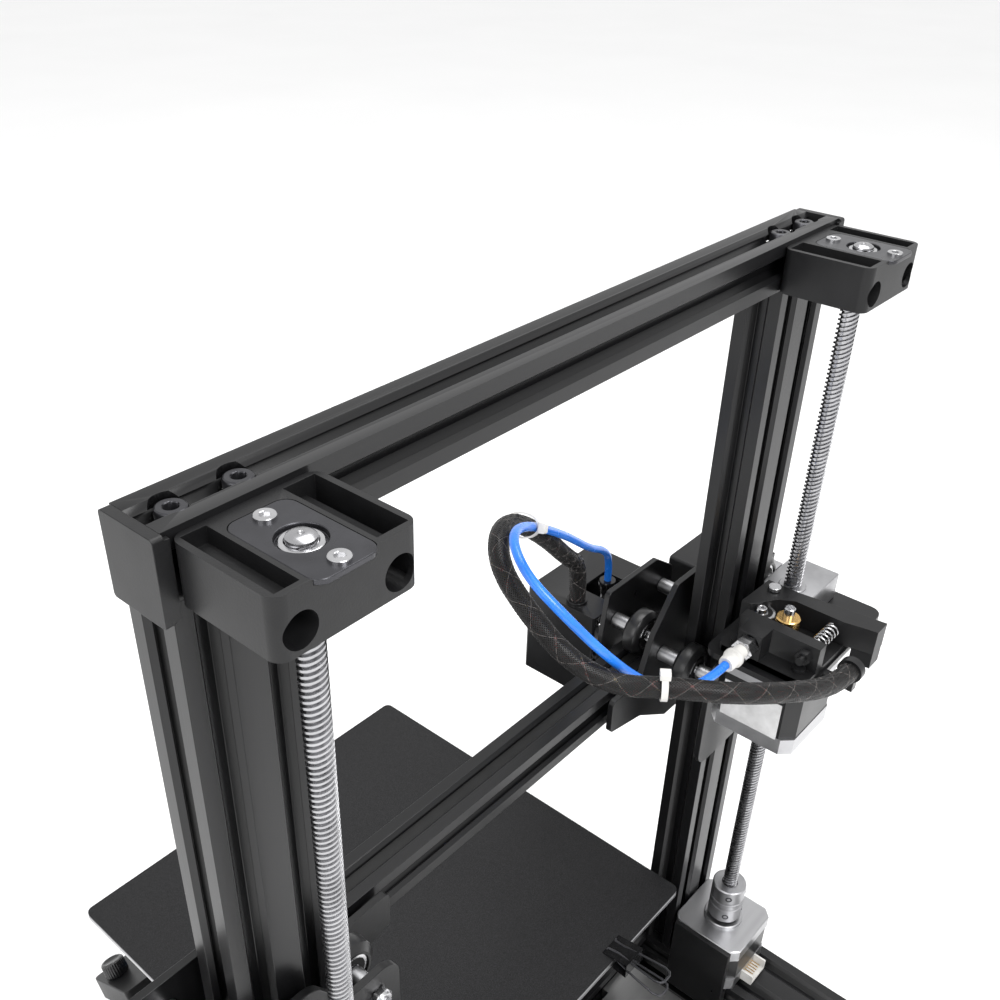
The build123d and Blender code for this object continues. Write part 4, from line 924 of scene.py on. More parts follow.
low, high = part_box("bed_motor")
belt_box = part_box("bed_belt")
belt_middle = middle(belt_box)
bed_pulley = at_depth(belt_middle, high.y - motor_half)
bed_motor_face = Vector((belt_middle.x + 8.0 * mm, bed_pulley.y, bed_pulley.z))
stepper("bed_motor", "frame", bed_motor_face, -AXIS_X, AXIS_Y, motor_length, -AXIS_Z, ("bed_motor",))

# ---- Pulleys and belts ----------------------------------------------------------------------------

belt_pitch = 2.0 * mm
pulley_teeth = 20
pulley_radius = 6.37 * mm


def toothed_pulley(name, body, centre, axis, shaft, replaces=(), hub=6.0 * mm):
    """Toothed pulley with two flanges, a hub and its shaft, given as two heights along the axis."""
    bm = bmesh.new()
    root = pulley_radius - 0.75 * mm
    half = 3.3 * mm
    lathe(bm, [(0.0, -half), (root, -half, (pulley_teeth, 0.12)), (root, half, (pulley_teeth, 0.12)),
               (0.0, half)],
          centre, axis, 160)
    for start, end in ((-half - 1.2 * mm, -half), (half, half + hub - 2.0 * mm)):
        lathe(bm, [(0.0, start), (7.4 * mm, start), (7.7 * mm, start + 0.3 * mm),
                   (7.7 * mm, end - 0.3 * mm),
                   (7.4 * mm, end), (0.0, end)], centre, axis, 48)
    make(name, bm, cast_metal, body, replaces)
    bm = bmesh.new()
    lathe(bm, [(0.0, shaft[0]), (2.2 * mm, shaft[0]), (2.5 * mm, shaft[0] + 0.3 * mm), (2.5 * mm, shaft[1]),
               (0.0, shaft[1])], centre, axis, 28)
    make(name + "_shaft", bm, steel, body)


def toothed_belt(name, node, across, body):
    """Closed belt with teeth on its inner face; across is the direction of its long runs."""
    low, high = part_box(node)
    centre = (low + high) / 2
    extent = high - low
    length = extent.dot(across)
    outer = extent.z / 2
    back = 0.75 * mm
    span = length / 2 - outer
    face = AXIS_Y if across.x else AXIS_X
    width = extent.dot(face) / 2
    straight = 2 * span
    loop = 2 * straight + 2 * pi * (outer - back)
    teeth = int(loop / belt_pitch)
    bm = bmesh.new()
    rings = []
    marks = (0.0, 0.28, 0.36, 0.64, 0.72)
    for tooth in range(teeth):
        for mark in marks:
            distance = (tooth + mark) / teeth * loop
            inner = outer - back - (0.65 * mm if 0.3 < mark < 0.7 else 0.0)
            if distance < straight:
                spot, out = across * (distance - span), AXIS_Z
            elif distance < straight + pi * (outer - back):
                angle = (distance - straight) / (outer - back)
                spot, out = across * span, AXIS_Z * cos(angle) + across * sin(angle)
            elif distance < 2 * straight + pi * (outer - back):
                spot, out = across * (span - (distance - straight - pi * (outer - back))), -AXIS_Z
            else:
                angle = (distance - 2 * straight - pi * (outer - back)) / (outer - back)
                spot, out = across * -span, -AXIS_Z * cos(angle) - across * sin(angle)
            ring = [centre + spot + out * r + face * w for r, w in
                    ((outer, -width), (outer, width), (inner, width), (inner, -width))]
            rings.append([bm.verts.new(p) for p in ring])
    join(bm, rings, closed=True)
    make(name, bm, belt_rubber, body, (node,))


toothed_belt("x_belt_teeth", "x_belt", AXIS_X, "gantry")
toothed_belt("bed_belt_teeth", "bed_belt", AXIS_Y, "frame")
low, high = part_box("x_pulley")
x_pulley_middle = Vector(((low.x + high.x) / 2, middle(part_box("x_belt")).y, (low.z + high.z) / 2))
toothed_pulley("x_pulley_teeth", "pulley", x_pulley_middle, AXIS_Y,
               (low.y - x_pulley_middle.y, high.y - x_pulley_middle.y), ("x_pulley",))
toothed_pulley("bed_pulley_teeth", "frame", bed_pulley, AXIS_X, (-4.8 * mm, 15.0 * mm), hub=4.5 * mm)
softened("x_idler", plate_black, 0.4)
softened("bed_idler", plate_black, 0.4)

# ---- V wheels and their axles ---------------------------------------------------------------------

wheel_radius = 12.2 * mm


def v_wheel(name, body, centre, axis, replaces=()):
    """Polymer V wheel with a chamfered rim, and a steel bearing with a black seal in it."""
    half = 4.9 * mm
    rim = 2.9 * mm
    shoulder = 9.75 * mm
    hub = 8.0 * mm
    turned(name + "_tyre", [(7.0 * mm, -half), (shoulder - 0.4 * mm, -half), (shoulder, -half + 0.35 * mm),
                            (wheel_radius - 0.15 * mm, -rim), (wheel_radius, -rim + 0.3 * mm),
                            (wheel_radius, rim - 0.3 * mm), (wheel_radius - 0.15 * mm, rim),
                            (shoulder, half - 0.35 * mm), (shoulder - 0.4 * mm, half),
                            (hub + 0.3 * mm, half), (hub, half - 0.3 * mm), (hub, half - 1.0 * mm),
                            (7.0 * mm, half - 1.0 * mm), (7.0 * mm, 1.0 * mm - half),
                            (hub, 1.0 * mm - half), (hub, 0.3 * mm - half)], centre, axis, wheel_polymer,
           body, replaces, segments=56, closed=True)
    bm = bmesh.new()
    for end in (-1, 1):
        face = centre + axis * (end * (half - 0.55 * mm))
        out = axis * end
        lathe(bm, [(6.5 * mm, -0.3 * mm), (7.9 * mm, -0.3 * mm), (7.9 * mm, -0.05 * mm), (7.8 * mm, 0.0),
                   (6.6 * mm, 0.0)], face, out, 48, closed=True)
        lathe(bm, [(2.56 * mm, -0.3 * mm), (3.9 * mm, -0.3 * mm), (3.9 * mm, 0.0), (2.7 * mm, 0.0)], face,
              out,
              36, closed=True)
    make(name + "_races", bm, steel, body)
    bm = bmesh.new()
    for end in (-1, 1):
        face = centre + axis * (end * (half - 0.75 * mm))
        lathe(bm, [(3.8 * mm, 0.0), (6.7 * mm, 0.0), (6.6 * mm, 0.1 * mm), (3.9 * mm, 0.1 * mm)], face,
              axis * end,
              36, closed=True)
    make(name + "_seals", bm, rubber, body)


for node in ("z_wheel_left", "z_wheel_right", "x_wheel_1", "x_wheel_2", "x_wheel_3"):
    v_wheel(node, body_of[node], middle(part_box(node)), AXIS_Y, (node,))
for number, corners in enumerate(solids("outer_wheels")):
    v_wheel(f"outer_wheel_{number + 1}", "gantry", middle(corners), AXIS_Y,
            ("outer_wheels",) if number == 0 else ())


def sleeve_between(bm, start, end, axis, inner=2.45 * mm, outer=3.9 * mm):
    """Turned spacer with chamfered ends."""
    length = (end - start).dot(axis)
    edge = 0.3 * mm
    lathe(bm, [(inner, 0.0), (outer - edge, 0.0), (outer, edge), (outer, length - edge),
               (outer - edge, length), (inner, length)], start, axis, 36, closed=True)


plate = 3.0 * mm
rear_low = solids("gantry_rear_plates")[0][0].y
post_middle = middle(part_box("posts")).y
wheel_half = 5.05 * mm
bm = bmesh.new()
spacers = bmesh.new()
for low, high in solids("gantry_axles"):
    centre = (low + high) / 2
    start = at_depth(centre, low.y)
    countersunk_head(bm, start - AXIS_Y * 0.02 * mm, -AXIS_Y, 4.7 * mm, 1.0 * mm, 1.6 * mm)
    shank(bm, start, AXIS_Y, 2.45 * mm, high.y - low.y)
    lock_nut(bm, at_depth(centre, rear_low + plate), AXIS_Y)
    for first, second in ((low.y + plate, post_middle - wheel_half), (post_middle + wheel_half, rear_low)):
        sleeve_between(spacers, at_depth(centre, first), at_depth(centre, second), AXIS_Y)
make("gantry_bolts", bm, steel, "gantry", ("gantry_axles",))
make("gantry_spacers", spacers, bare_aluminium, "gantry")

bm = bmesh.new()
spacers = bmesh.new()
carriage_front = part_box("carriage_plate")[0].y
beam_middle = middle(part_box("x_beam")).y
for low, high in solids("carriage_axles"):
    centre = (low + high) / 2
    cap_head(bm, at_depth(centre, low.y), -AXIS_Y, 4.5 * mm, 2.95 * mm, 1.6 * mm)
    shank(bm, at_depth(centre, low.y + 2.0 * mm), AXIS_Y, 2.45 * mm, high.y - low.y - 2.0 * mm)
    lock_nut(bm, at_depth(centre, beam_middle + wheel_half), AXIS_Y, 4.0 * mm, 4.4 * mm)
    sleeve_between(spacers, at_depth(centre, carriage_front + plate),
                   at_depth(centre, beam_middle - wheel_half), AXIS_Y)
make("carriage_bolts", bm, steel, "carriage", ("carriage_axles",))
make("carriage_spacers", spacers, bare_aluminium, "carriage")

# ---- Leadscrew nuts -------------------------------------------------------------------------------

nut_solids = sorted(solids("leadscrew_nuts"), key=lambda corners: corners[0].x)
low, high = nut_solids[0]
bm = bmesh.new()
bevelled_box(bm, low, high, 1.0 * mm, 3)
screw_spot = middle(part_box("leadscrew_left"))
lathe(bm, [(4.1 * mm, 0.0), (6.4 * mm, 0.0), (6.4 * mm, 0.5 * mm), (6.1 * mm, 0.8 * mm),
           (4.1 * mm, 0.8 * mm)],
      at_height(screw_spot, high.z), AXIS_Z, 36, closed=True)
make("left_nut_block", bm, cast_metal, "gantry", ("leadscrew_nuts",))
low, high = nut_solids[1]
centre = (low + high) / 2
flange = (high.x - low.x) / 2
bm = bmesh.new()
flange_low = high.z - 3.5 * mm
lathe(bm, [(4.05 * mm, low.z - flange_low), (5.0 * mm, low.z - flange_low),
           (5.1 * mm, low.z - flange_low + 0.3 * mm),
           (5.1 * mm, 0.0), (flange - 0.3 * mm, 0.0), (flange, 0.3 * mm), (flange, 3.1 * mm),
           (flange - 0.4 * mm, 3.5 * mm), (5.2 * mm, 3.5 * mm), (4.9 * mm, 3.3 * mm),
           (4.05 * mm, 3.2 * mm)],
      at_height(centre, flange_low), AXIS_Z, 56, closed=True)
make("right_nut_flange", bm, brass, "gantry")
bm = bmesh.new()
for turn in (45, 135, 225, 315):
    spot = Vector((centre.x + 8.0 * mm * cos(radians(turn)), centre.y + 8.0 * mm * sin(radians(turn)),
                   high.z))
    cap_head(bm, spot + AXIS_Z * 1.6 * mm, AXIS_Z, 2.2 * mm, 1.6 * mm, 1.0 * mm)
make("right_nut_screws", bm, dark_steel, "gantry")

# ---- Plates, covers and small housings ------------------------------------------------------------

for node, material, width in (
    ("screw_holders", black_plastic, 0.5),
    ("beam_end_caps", black_plastic, 0.5),
    ("screw_end_plates", dark_steel, 0.3),
    ("motor_brackets", plate_black, 0.4),
    ("gantry_front_plates", plate_black, 0.35),
    ("gantry_rear_plates", plate_black, 0.35),
    ("x_motor_cover", black_plastic, 0.5),
    ("feeder_bracket", plate_black, 0.35),
    ("feeder_lever", black_plastic, 0.6),
    ("carriage_plate", plate_black, 0.35),
    ("hotend_shroud", plate_black, 0.4),
    ("bed_carriage", plate_black, 0.35),
    ("control_box", plate_black, 0.5),
    ("display_case", black_plastic, 0.8),
    ("power_supply", supply_metal, 0.5),
    ("power_switch", red_plastic, 0.4),
    ("rubber_feet", rubber, 0.3),
):
    softened(node, material, width)

end_bearings = bmesh.new()
for node in ("leadscrew_left", "leadscrew_right"):
    centre = middle(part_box(node))
    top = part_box("screw_end_plates")[1].z
    seat = at_height(centre, top)
    lathe(end_bearings, [(4.05 * mm, -1.7 * mm), (5.6 * mm, -1.7 * mm), (5.6 * mm, -0.9 * mm),
                         (5.3 * mm, -0.7 * mm),
                         (4.3 * mm, -0.7 * mm), (4.05 * mm, -0.9 * mm)], seat, AXIS_Z, 44, closed=True)
make("end_bearing_rings", end_bearings, steel, "frame")

# ---- Filament feeder ------------------------------------------------------------------------------

fitting_length = 20.0 * mm
arm_end = bowden_route[0][0] - fitting_length
arm = softened("feeder_body", black_plastic, 0.5, name="feeder_arm",
               chosen=lambda low, high: (high - low).y > 30 * mm)
bm = bmesh.new()
bm.from_mesh(arm.data)
bmesh.ops.bisect_plane(bm, geom=bm.verts[:] + bm.edges[:] + bm.faces[:],
                       plane_co=(arm_end + 0.01 * mm, 0, 0),
                       plane_no=AXIS_X, clear_outer=True)
bm.to_mesh(arm.data)
bm.free()
softened("feeder_body", steel, 0.25, name="feeder_screws", replaces=False,
         chosen=lambda low, high: (high - low).y < 9.7 * mm and (high - low).x < 9 * mm)
start = Vector((arm_end, bowden_route[0][1], bowden_route[0][2]))
turned("feeder_fitting_nut", [(1.0 * mm, 0.0), (4.3 * mm, 0.0, "hex"), (4.5 * mm, 0.4 * mm, "hex"),
                              (4.5 * mm, 6.6 * mm, "hex"), (4.2 * mm, 7.0 * mm), (1.0 * mm, 7.0 * mm)],
       start, AXIS_X, steel, "gantry", segments=48, closed=True)
bm = bmesh.new()
lathe(bm, [(1.0 * mm, 7.0 * mm), (3.4 * mm, 7.0 * mm), (3.4 * mm, 11.6 * mm), (4.3 * mm, 12.0 * mm),
           (4.6 * mm, 12.4 * mm), (4.6 * mm, 14.2 * mm), (3.9 * mm, 15.0 * mm),
           (3.7 * mm, fitting_length - 1.0 * mm),
           (3.3 * mm, fitting_length), (2.2 * mm, fitting_length), (1.0 * mm, fitting_length - 0.4 * mm)],
      start, AXIS_X, 44,
      closed=True)
make("feeder_fitting_collar", bm, white_plastic, "gantry")

low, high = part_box("feeder_gear")
bm = bmesh.new()
gear_foot = at_height(feeder_axis, low.z)
tall = high.z - low.z
gear_low = 10.0 * mm
gear_high = 23.0 * mm
lathe(bm, [(0.0, gear_low), (5.2 * mm, gear_low), (5.5 * mm, gear_low + 0.3 * mm),
           (5.5 * mm, gear_low + 3.6 * mm),
           (5.5 * mm, gear_low + 3.7 * mm, (22, 0.16)), (5.2 * mm, gear_low + 5.6 * mm, (22, 0.16)),
           (5.5 * mm, gear_low + 7.4 * mm, (22, 0.16)), (5.5 * mm, gear_low + 7.5 * mm),
           (5.5 * mm, gear_high - 0.5 * mm), (5.0 * mm, gear_high), (0.0, gear_high)],
      gear_foot, AXIS_Z, 176)
make("feeder_gear_teeth", bm, brass, "drive_gear", ("feeder_gear",))
bm = bmesh.new()
lathe(bm, [(0.0, 0.0), (2.5 * mm, 0.0), (2.5 * mm, tall - 0.4 * mm), (2.1 * mm, tall), (0.0, tall)],
      gear_foot,
      AXIS_Z, 32)
grub = gear_foot + AXIS_Z * (gear_high - 2.4 * mm) + AXIS_X * 5.5 * mm
lathe(bm, [(0.0, -0.6 * mm), (1.4 * mm, -0.6 * mm), (1.4 * mm, 0.05 * mm), (0.8 * mm, 0.05 * mm),
           (0.7 * mm, -0.2 * mm, "hex"), (0.0, -0.3 * mm)], grub, AXIS_X, 24)
make("feeder_shaft", bm, steel, "drive_gear")


def helix(centre, axis, radius, length, turns, ends=0.75, steps=28):
    """Points of a coil spring with closed end turns."""
    side, up = axes_for(axis)
    axis = Vector(axis).normalized()
    points = []
    total = int(turns * steps)
    for step in range(total + 1):
        turn = step / steps
        if turn < ends:
            share = 0.5 * turn / turns * (turn / ends)
        elif turn > turns - ends:
            left = turns - turn
            share = 1 - 0.5 * left / turns * (left / ends)
        else:
            start_share = 0.5 * ends / turns
            share = start_share + (turn - ends) / (turns - 2 * ends) * (1 - 2 * start_share)
        angle = 2 * pi * turn
        points.append(centre + axis * (length * share) + spoke(side, up, radius, angle))
    return points


low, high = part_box("feeder_spring")
spring_middle = (low + high) / 2
wire = 0.5 * mm
bm = bmesh.new()
spring_start = Vector((low.x + wire, spring_middle.y, spring_middle.z))
coil = helix(spring_start, AXIS_X, 2.95 * mm, high.x - low.x - 2 * wire, 7.5)
tube(bm, coil, wire, 10)
feeder_coil = make("feeder_coil", bm, steel, None, ("feeder_spring",))
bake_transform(feeder_coil)

lever_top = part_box("feeder_lever")[1].z
lever_thickness = 12.4 * mm
idler = Vector((feeder_axis.x - 1.0 * mm, feeder_axis.y - 13.5 * mm, lever_top - lever_thickness / 2))
bm = bmesh.new()
lathe(bm, [(1.6 * mm, -2.6 * mm), (6.3 * mm, -2.6 * mm), (6.6 * mm, -2.3 * mm), (6.6 * mm, 2.3 * mm),
           (6.3 * mm, 2.6 * mm), (5.2 * mm, 2.6 * mm), (5.1 * mm, 2.4 * mm), (3.2 * mm, 2.4 * mm),
           (3.1 * mm, 2.6 * mm), (1.6 * mm, 2.6 * mm)], idler, AXIS_Z, 48, closed=True)
cap_head(bm, idler + AXIS_Z * 5.0 * mm, AXIS_Z, 2.6 * mm, 2.4 * mm, 1.2 * mm)
make("lever_bearing", bm, steel, "lever")

# ---- Hot end --------------------------------------------------------------------------------------

low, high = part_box("hotend")
hot = low + Vector((13.0 * mm, 8.0 * mm, 0.0))
turned("nozzle", [(0.2 * mm, 0.0), (0.55 * mm, 0.0), (2.6 * mm, 2.4 * mm), (2.9 * mm, 2.5 * mm),
                  (3.4 * mm, 2.8 * mm, "hex"), (3.4 * mm, 5.8 * mm, "hex"), (2.8 * mm, 6.2 * mm),
                  (2.8 * mm, 7.0 * mm), (0.0, 7.0 * mm)], hot, AXIS_Z, brass, "carriage", ("hotend",),
       segments=48)
bm = bmesh.new()
bevelled_box(bm, hot + Vector((-12.0 * mm, -8.0 * mm, 6.5 * mm)),
             hot + Vector((8.0 * mm, 8.0 * mm, 18.5 * mm)), 0.6 * mm)
fin_count = 5
first_fin = 20.5 * mm
fin_pitch = 4.6 * mm
fin_thickness = 2.2 * mm
for step in range(fin_count):
    fin_low = first_fin + step * fin_pitch
    bevelled_box(bm, hot + Vector((-13.0 * mm, -6.5 * mm, fin_low)),
                 hot + Vector((13.0 * mm, 6.5 * mm, fin_low + fin_thickness)), 0.3 * mm)
bevelled_box(bm, hot + Vector((-5.0 * mm, -6.3 * mm, 20.6 * mm)),
             hot + Vector((5.0 * mm, 6.3 * mm, 41.0 * mm)), 0.3 * mm)
bevelled_box(bm, hot + Vector((-10.0 * mm, 6.0 * mm, 37.5 * mm)),
             Vector((hot.x + 10.0 * mm, high.y, hot.z + 41.0 * mm)), 0.3 * mm)
lathe(bm, [(0.0, 18.0 * mm), (2.2 * mm, 18.0 * mm), (2.2 * mm, 21.0 * mm), (0.0, 21.0 * mm)], hot, AXIS_Z,
      24)
make("heat_sink", bm, bare_aluminium, "carriage")
bm = bmesh.new()
fitting_reach = high.z - low.z
lathe(bm, [(1.0 * mm, 41.0 * mm), (4.6 * mm, 41.0 * mm, "hex"), (4.6 * mm, 47.0 * mm, "hex"),
           (3.6 * mm, 47.6 * mm),
           (3.6 * mm, fitting_reach - 8.0 * mm), (1.0 * mm, fitting_reach - 8.0 * mm)],
      hot, AXIS_Z, 48, closed=True)
make("hotend_fitting", bm, steel, "carriage")
turned("hotend_fitting_collar", [(1.0 * mm, -8.0 * mm), (4.0 * mm, -8.0 * mm), (4.2 * mm, -3.0 * mm),
                                 (4.9 * mm, -2.6 * mm), (4.9 * mm, -1.0 * mm), (4.4 * mm, 0.0),
                                 (1.0 * mm, 0.0)], hot + AXIS_Z * fitting_reach, AXIS_Z, glossy_black,
       "carriage", segments=44, closed=True)

shroud_low, shroud_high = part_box("hotend_shroud")
fan_height = 243.0 * mm
grille_wire = 0.55 * mm
fan_centre = Vector(((shroud_low.x + shroud_high.x) / 2, shroud_low.y + 1.6 * mm, fan_height))
bm = bmesh.new()
for radius in (16.4 * mm, 12.0 * mm, 7.6 * mm):
    count = 48
    ring = [fan_centre + spoke(AXIS_X, AXIS_Z, radius, 2 * pi * k / count) for k in range(count)]
    tube(bm, ring, grille_wire, 8, closed=True)
for turn in (45, 135):
    reach = spoke(AXIS_X, AXIS_Z, 16.9 * mm, radians(turn))
    tube(bm, [fan_centre - reach, fan_centre + reach], grille_wire, 8)
make("fan_grille", bm, steel, "carriage")
bm = bmesh.new()
lathe(bm, [(0.0, 0.0), (7.0 * mm, 0.0), (7.6 * mm, 0.5 * mm), (7.6 * mm, 5.0 * mm), (0.0, 5.0 * mm)],
      fan_centre + AXIS_Y * 1.4 * mm, AXIS_Y, 40)
blade_count = 7
for blade in range(blade_count):
    rows = []
    for share in (0.0, 0.5, 1.0):
        radius = 7.2 * mm + share * 8.6 * mm
        middle_angle = 2 * pi * blade / blade_count + share * 0.35
        row = []
        for edge, depth in ((-0.30, 2.0 * mm), (0.30, 6.2 * mm)):
            angle = middle_angle + edge
            row.append(bm.verts.new(fan_centre + spoke(AXIS_X, AXIS_Z, radius, angle) + AXIS_Y * depth))
        rows.append(row)
    for first, second in zip(rows, rows[1:]):
        bm.faces.new((first[0], first[1], second[1], second[0]))
make("fan_blades", bm, black_plastic, "carriage")

# ---- Bed ------------------------------------------------------------------------------------------

softened("heated_bed", bare_aluminium, 0.3)
softened("build_sheet", sheet_face, 0.2)

bed_low, bed_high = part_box("heated_bed")
carriage_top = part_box("bed_carriage")[1].z
bm = bmesh.new()
screws = bmesh.new()
for low, high in solids("bed_supports"):
    centre = (low + high) / 2
    if (high - low).x > 6 * mm:
        foot = at_height(centre, low.z + 0.6 * mm)
        tube(bm, helix(foot, AXIS_Z, 3.85 * mm, high.z - low.z - 1.2 * mm, 7.5), 0.6 * mm, 10)
    else:
        shank(screws, at_height(centre, low.z), AXIS_Z, 1.95 * mm, bed_high.z - low.z - 0.1 * mm)
make("bed_coils", bm, steel, "bed", ("bed_supports",))
make("bed_screws", screws, steel, "bed")

for position in ("front_left", "rear_left", "front_right", "rear_right"):
    node = "bed_knob_" + position
    low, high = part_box(node)
    top = Vector(((low.x + high.x) / 2, (low.y + high.y) / 2, high.z))
    radius = (high.x - low.x) / 2
    height = high.z - low.z
    lobes = (18, 0.09)
    turned(node + "_grip", [(2.1 * mm, 0.0), (5.0 * mm, 0.0), (5.4 * mm, -0.4 * mm), (5.8 * mm, -3.0 * mm),
                            (radius - 1.6 * mm, -3.2 * mm), (radius - 0.4 * mm, -3.8 * mm, lobes),
                            (radius, -4.8 * mm, lobes), (radius, -height + 1.6 * mm, lobes),
                            (radius - 0.7 * mm, -height + 0.5 * mm, lobes), (radius - 2.0 * mm, -height),
                            (8.0 * mm, -height), (7.4 * mm, -height + 0.8 * mm),
                            (2.1 * mm, -height + 0.8 * mm)], top, AXIS_Z, black_plastic, body_of[node],
           (node,), segments=180, closed=True)

wheel_solids = solids("bed_wheels")
for number, corners in enumerate(wheel_solids):
    low, high = corners
    centre = Vector(((low.x + high.x) / 2, (low.y + high.y) / 2, middle(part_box("bed_rail")).z))
    v_wheel(f"bed_wheel_{number + 1}", "bed", centre, AXIS_Z, ("bed_wheels",) if number == 0 else ())
bm = bmesh.new()
for low, high in wheel_solids:
    centre = (low + high) / 2
    rail_z = middle(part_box("bed_rail")).z
    shank(bm, at_height(centre, low.z), AXIS_Z, 2.45 * mm, carriage_top - low.z)
    cap_head(bm, at_height(centre, high.z), AXIS_Z, 4.5 * mm, high.z - carriage_top, 1.6 * mm)
    sleeve_between(bm, at_height(centre, rail_z + wheel_half),
                   Vector((centre.x, centre.y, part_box("bed_carriage")[1].z - 3.0 * mm)), AXIS_Z)
make("bed_wheel_bolts", bm, steel, "bed")

clip_boxes = [(low, high) for low, high in solids("bed_clips") if (high - low).x > 14 * mm]
bm = bmesh.new()
wires = bmesh.new()
bed_middle_z = (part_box("build_sheet")[1].z + bed_low.z) / 2
grip = (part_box("build_sheet")[1].z - bed_low.z) / 2
clip_back = 8.4
wall = 0.55
for low, high in clip_boxes:
    centre_x = (low.x + high.x) / 2
    half = (high.x - low.x) / 2
    rear = bed_high.y
    upper = [(-7.0, grip / mm + 0.05), (-5.5, grip / mm + 0.05), (1.0, grip / mm + 1.4),
             (clip_back, grip / mm + 2.3)]
    outline = []
    for y, z in upper:
        outline.append((y * mm, (z + wall) * mm))
    for y, z in reversed(upper):
        outline.append((y * mm, -(z + wall) * mm))
    for y, z in upper:
        outline.append((min(y, clip_back - wall) * mm, -z * mm))
    for y, z in reversed(upper):
        outline.append((min(y, clip_back - wall) * mm, z * mm))
    prism(bm, outline, Vector((centre_x - half, rear, bed_middle_z)), AXIS_Y, AXIS_Z, AXIS_X * (2 * half))
    for end in (-1, 1):
        points = []
        shape = ((-6.4, 4.6, 0.4), (-6.4, 3.2, 0.7), (0.0, 2.8, 2.1), (12.0, 4.2, 3.4), (24.0, 5.2, 4.4),
                 (27.0, 4.4, 4.6), (28.3, 2.4, 4.7), (28.3, 0.0, 4.7))
        left_half = [(y, -x, z) for y, x, z in shape]
        right_half = [(y, x, z) for y, x, z in reversed(shape[:-1])]
        for y, x, z in left_half + right_half:
            points.append(Vector((centre_x + x * mm, rear + y * mm,
                                  bed_middle_z + end * (grip + z * mm * 0.72))))
        tube(wires, points, 0.65 * mm, 10)
make("clip_shells", bm, glossy_black, "bed", ("bed_clips",))
make("clip_handles", wires, dark_steel, "bed")

# ---- Display and power inlet ----------------------------------------------------------------------

tilt = radians(30)
face_out = Vector((0, -sin(tilt), cos(tilt)))
face_up = Vector((0, cos(tilt), sin(tilt)))
knob_joint = next(j for j in frame["joints"] if j["name"] == "menu_knob_turn")
knob_spot = Vector(knob_joint["pos_m"])
face_level = knob_spot - face_out * 1.0 * mm
turned("display_knob_grip", [(0.0, -6.0 * mm), (3.0 * mm, -6.0 * mm), (3.0 * mm, 0.6 * mm),
                             (6.6 * mm, 0.6 * mm), (7.0 * mm, 1.2 * mm, (28, 0.05)),
                             (6.8 * mm, 8.6 * mm, (28, 0.05)), (6.3 * mm, 9.4 * mm), (5.2 * mm, 9.6 * mm),
                             (4.6 * mm, 9.2 * mm), (0.0, 9.0 * mm)], face_level, face_out, glossy_black,
       "menu_knob", ("display_knob",), segments=168)
screen_middle = face_level - AXIS_X * 34.0 * mm + face_up * 8.0 * mm - face_out * 1.0 * mm
bm = bmesh.new()
prism(bm, [(-22.5 * mm, -13.5 * mm), (22.5 * mm, -13.5 * mm), (22.5 * mm, 13.5 * mm),
           (-22.5 * mm, 13.5 * mm)],
      screen_middle - face_out * 0.4 * mm, AXIS_X, face_up, face_out * 0.6 * mm)
make("display_screen", bm, screen_glass, "frame")

supply_low, supply_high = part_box("power_supply")
switch_middle = middle(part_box("power_switch"))
socket_middle = Vector((switch_middle.x + 30.0 * mm, supply_high.y, (supply_low.z + supply_high.z) / 2))
bm = bmesh.new()
half_x, half_z = 13.2 * mm, 9.7 * mm
wall = 2.2 * mm
outer = [(-half_x, -half_z), (half_x, -half_z), (half_x, half_z * 0.4), (half_x * 0.7, half_z),
         (-half_x * 0.7, half_z), (-half_x, half_z * 0.4)]
inner = [(x * 0.82, z * 0.78) for x, z in outer]
rings = []
for outline, depth in ((outer, -13.5 * mm), (outer, 0.0), (inner, 0.0), (inner, -12.0 * mm)):
    rings.append([bm.verts.new(socket_middle + AXIS_X * x + AXIS_Z * z + AXIS_Y * depth) for x,
                  z in outline])
join(bm, rings)
bm.faces.new(rings[0])
bm.faces.new(rings[-1])
make("power_inlet", bm, black_plastic, "frame")
bm = bmesh.new()
for x, z in ((-5.0, -1.6), (5.0, -1.6), (0.0, 2.4)):
    spot = socket_middle + Vector((x * mm, -11.9 * mm, z * mm))
    bevelled_box(bm, spot - Vector((0.9 * mm, 0, 1.9 * mm)), spot + Vector((0.9 * mm, 8.0 * mm, 1.9 * mm)),
                 0.3 * mm)
make("inlet_pins", bm, brass, "frame")
# The vent holes are not cut: dark hexagons laid flush on the supply's face paint the shade inside them.
bm = bmesh.new()
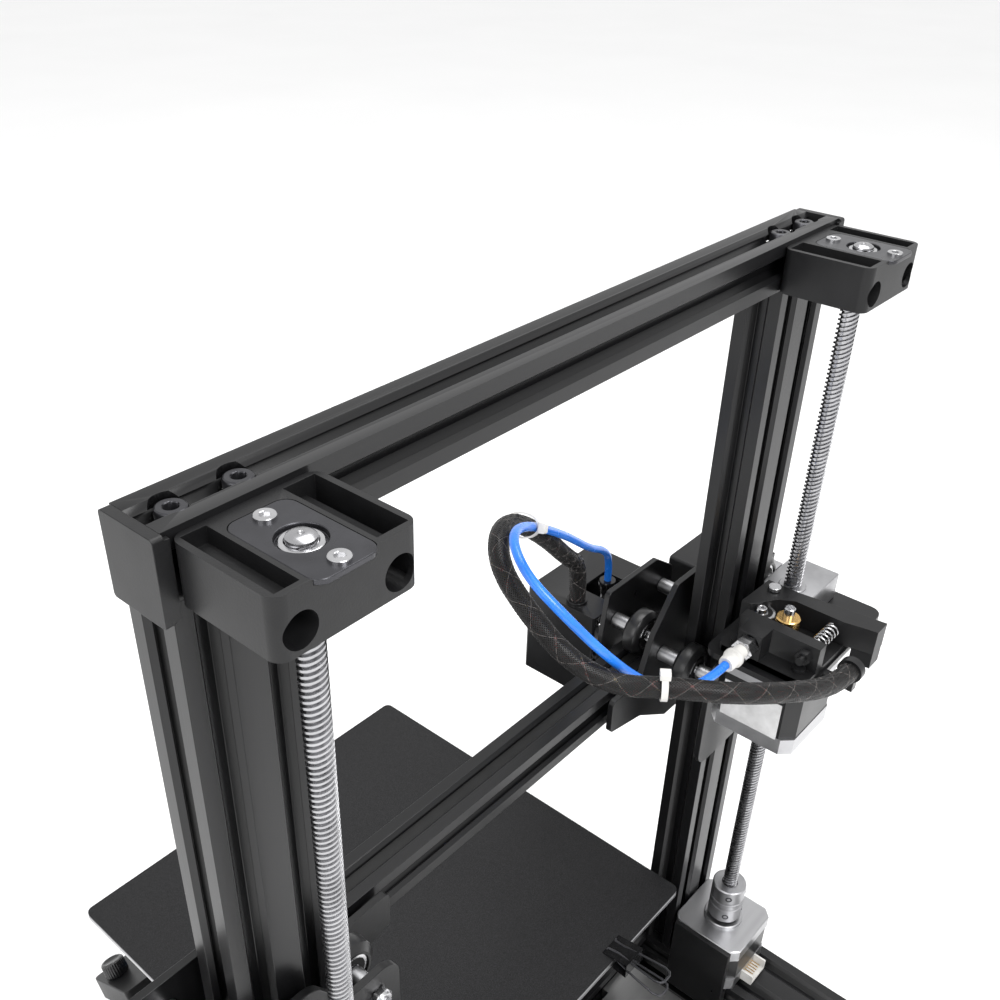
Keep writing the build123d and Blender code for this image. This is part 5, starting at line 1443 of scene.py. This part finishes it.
vent_rows, vent_columns = 3, 22
vent_pitch = 5.2 * mm
vent_row_pitch = 6.0 * mm
first_vent = Vector((supply_low.x + 95.0 * mm, supply_high.y, supply_low.z + 9.0 * mm))
last_vent_x = supply_high.x - 22.0 * mm
for row in range(vent_rows):
    for column in range(vent_columns):
        stagger = 0.5 if row % 2 else 0.0
        spot = first_vent + AXIS_X * (vent_pitch * (column + stagger)) + AXIS_Z * (vent_row_pitch * row)
        if spot.x > last_vent_x:
            continue
        lathe(bm, [(0.0, 0.02 * mm), (1.6 * mm, 0.02 * mm, "hex"), (1.6 * mm, -0.2 * mm, "hex")], spot,
              AXIS_Y, 12)
make("supply_vent_painted_shade", bm, dark_steel, "frame")

# ---- Floor and light ------------------------------------------------------------------------------

floor_shader = Shader("floor_pale", (0.9, 0.9, 0.9), 0.7)
floor_shader.vary_colour(floor_shader.noise(3), 0.01)
floor_mesh = bmesh.new()
reach = 12.0
floor_outline = ((-reach, -reach), (reach, -reach), (reach, reach), (-reach, reach))
floor_mesh.faces.new([floor_mesh.verts.new((x, y, 0.0)) for x, y in floor_outline])
floor = make("floor", floor_mesh, floor_shader.material)

world = bpy.data.worlds.new("studio")
world.use_nodes = True
scene.world = world
background = world.node_tree.nodes["Background"]
background.inputs["Color"].default_value = (1.0, 1.0, 1.0, 1.0)
background.inputs["Strength"].default_value = 1.0
scene.view_settings.view_transform = "Standard"


def soft_light(name, place, target, power, width):
    """Square area light aimed at a point."""
    data = bpy.data.lights.new(name, "AREA")
    data.energy = power
    data.size = width
    light = bpy.data.objects.new(name, data)
    light.location = place
    light.rotation_euler = (Vector(target) - Vector(place)).to_track_quat("-Z", "Y").to_euler()
    scene.collection.objects.link(light)


soft_light("key", (0.2, 1.3, 1.6), (0.0, 0.05, 0.3), 26.0, 0.9)
soft_light("fill", (1.5, 0.2, 1.0), (0.0, 0.05, 0.3), 12.0, 1.1)
soft_light("top", (-0.4, 0.0, 1.7), (0.0, 0.0, 0.3), 14.0, 1.0)
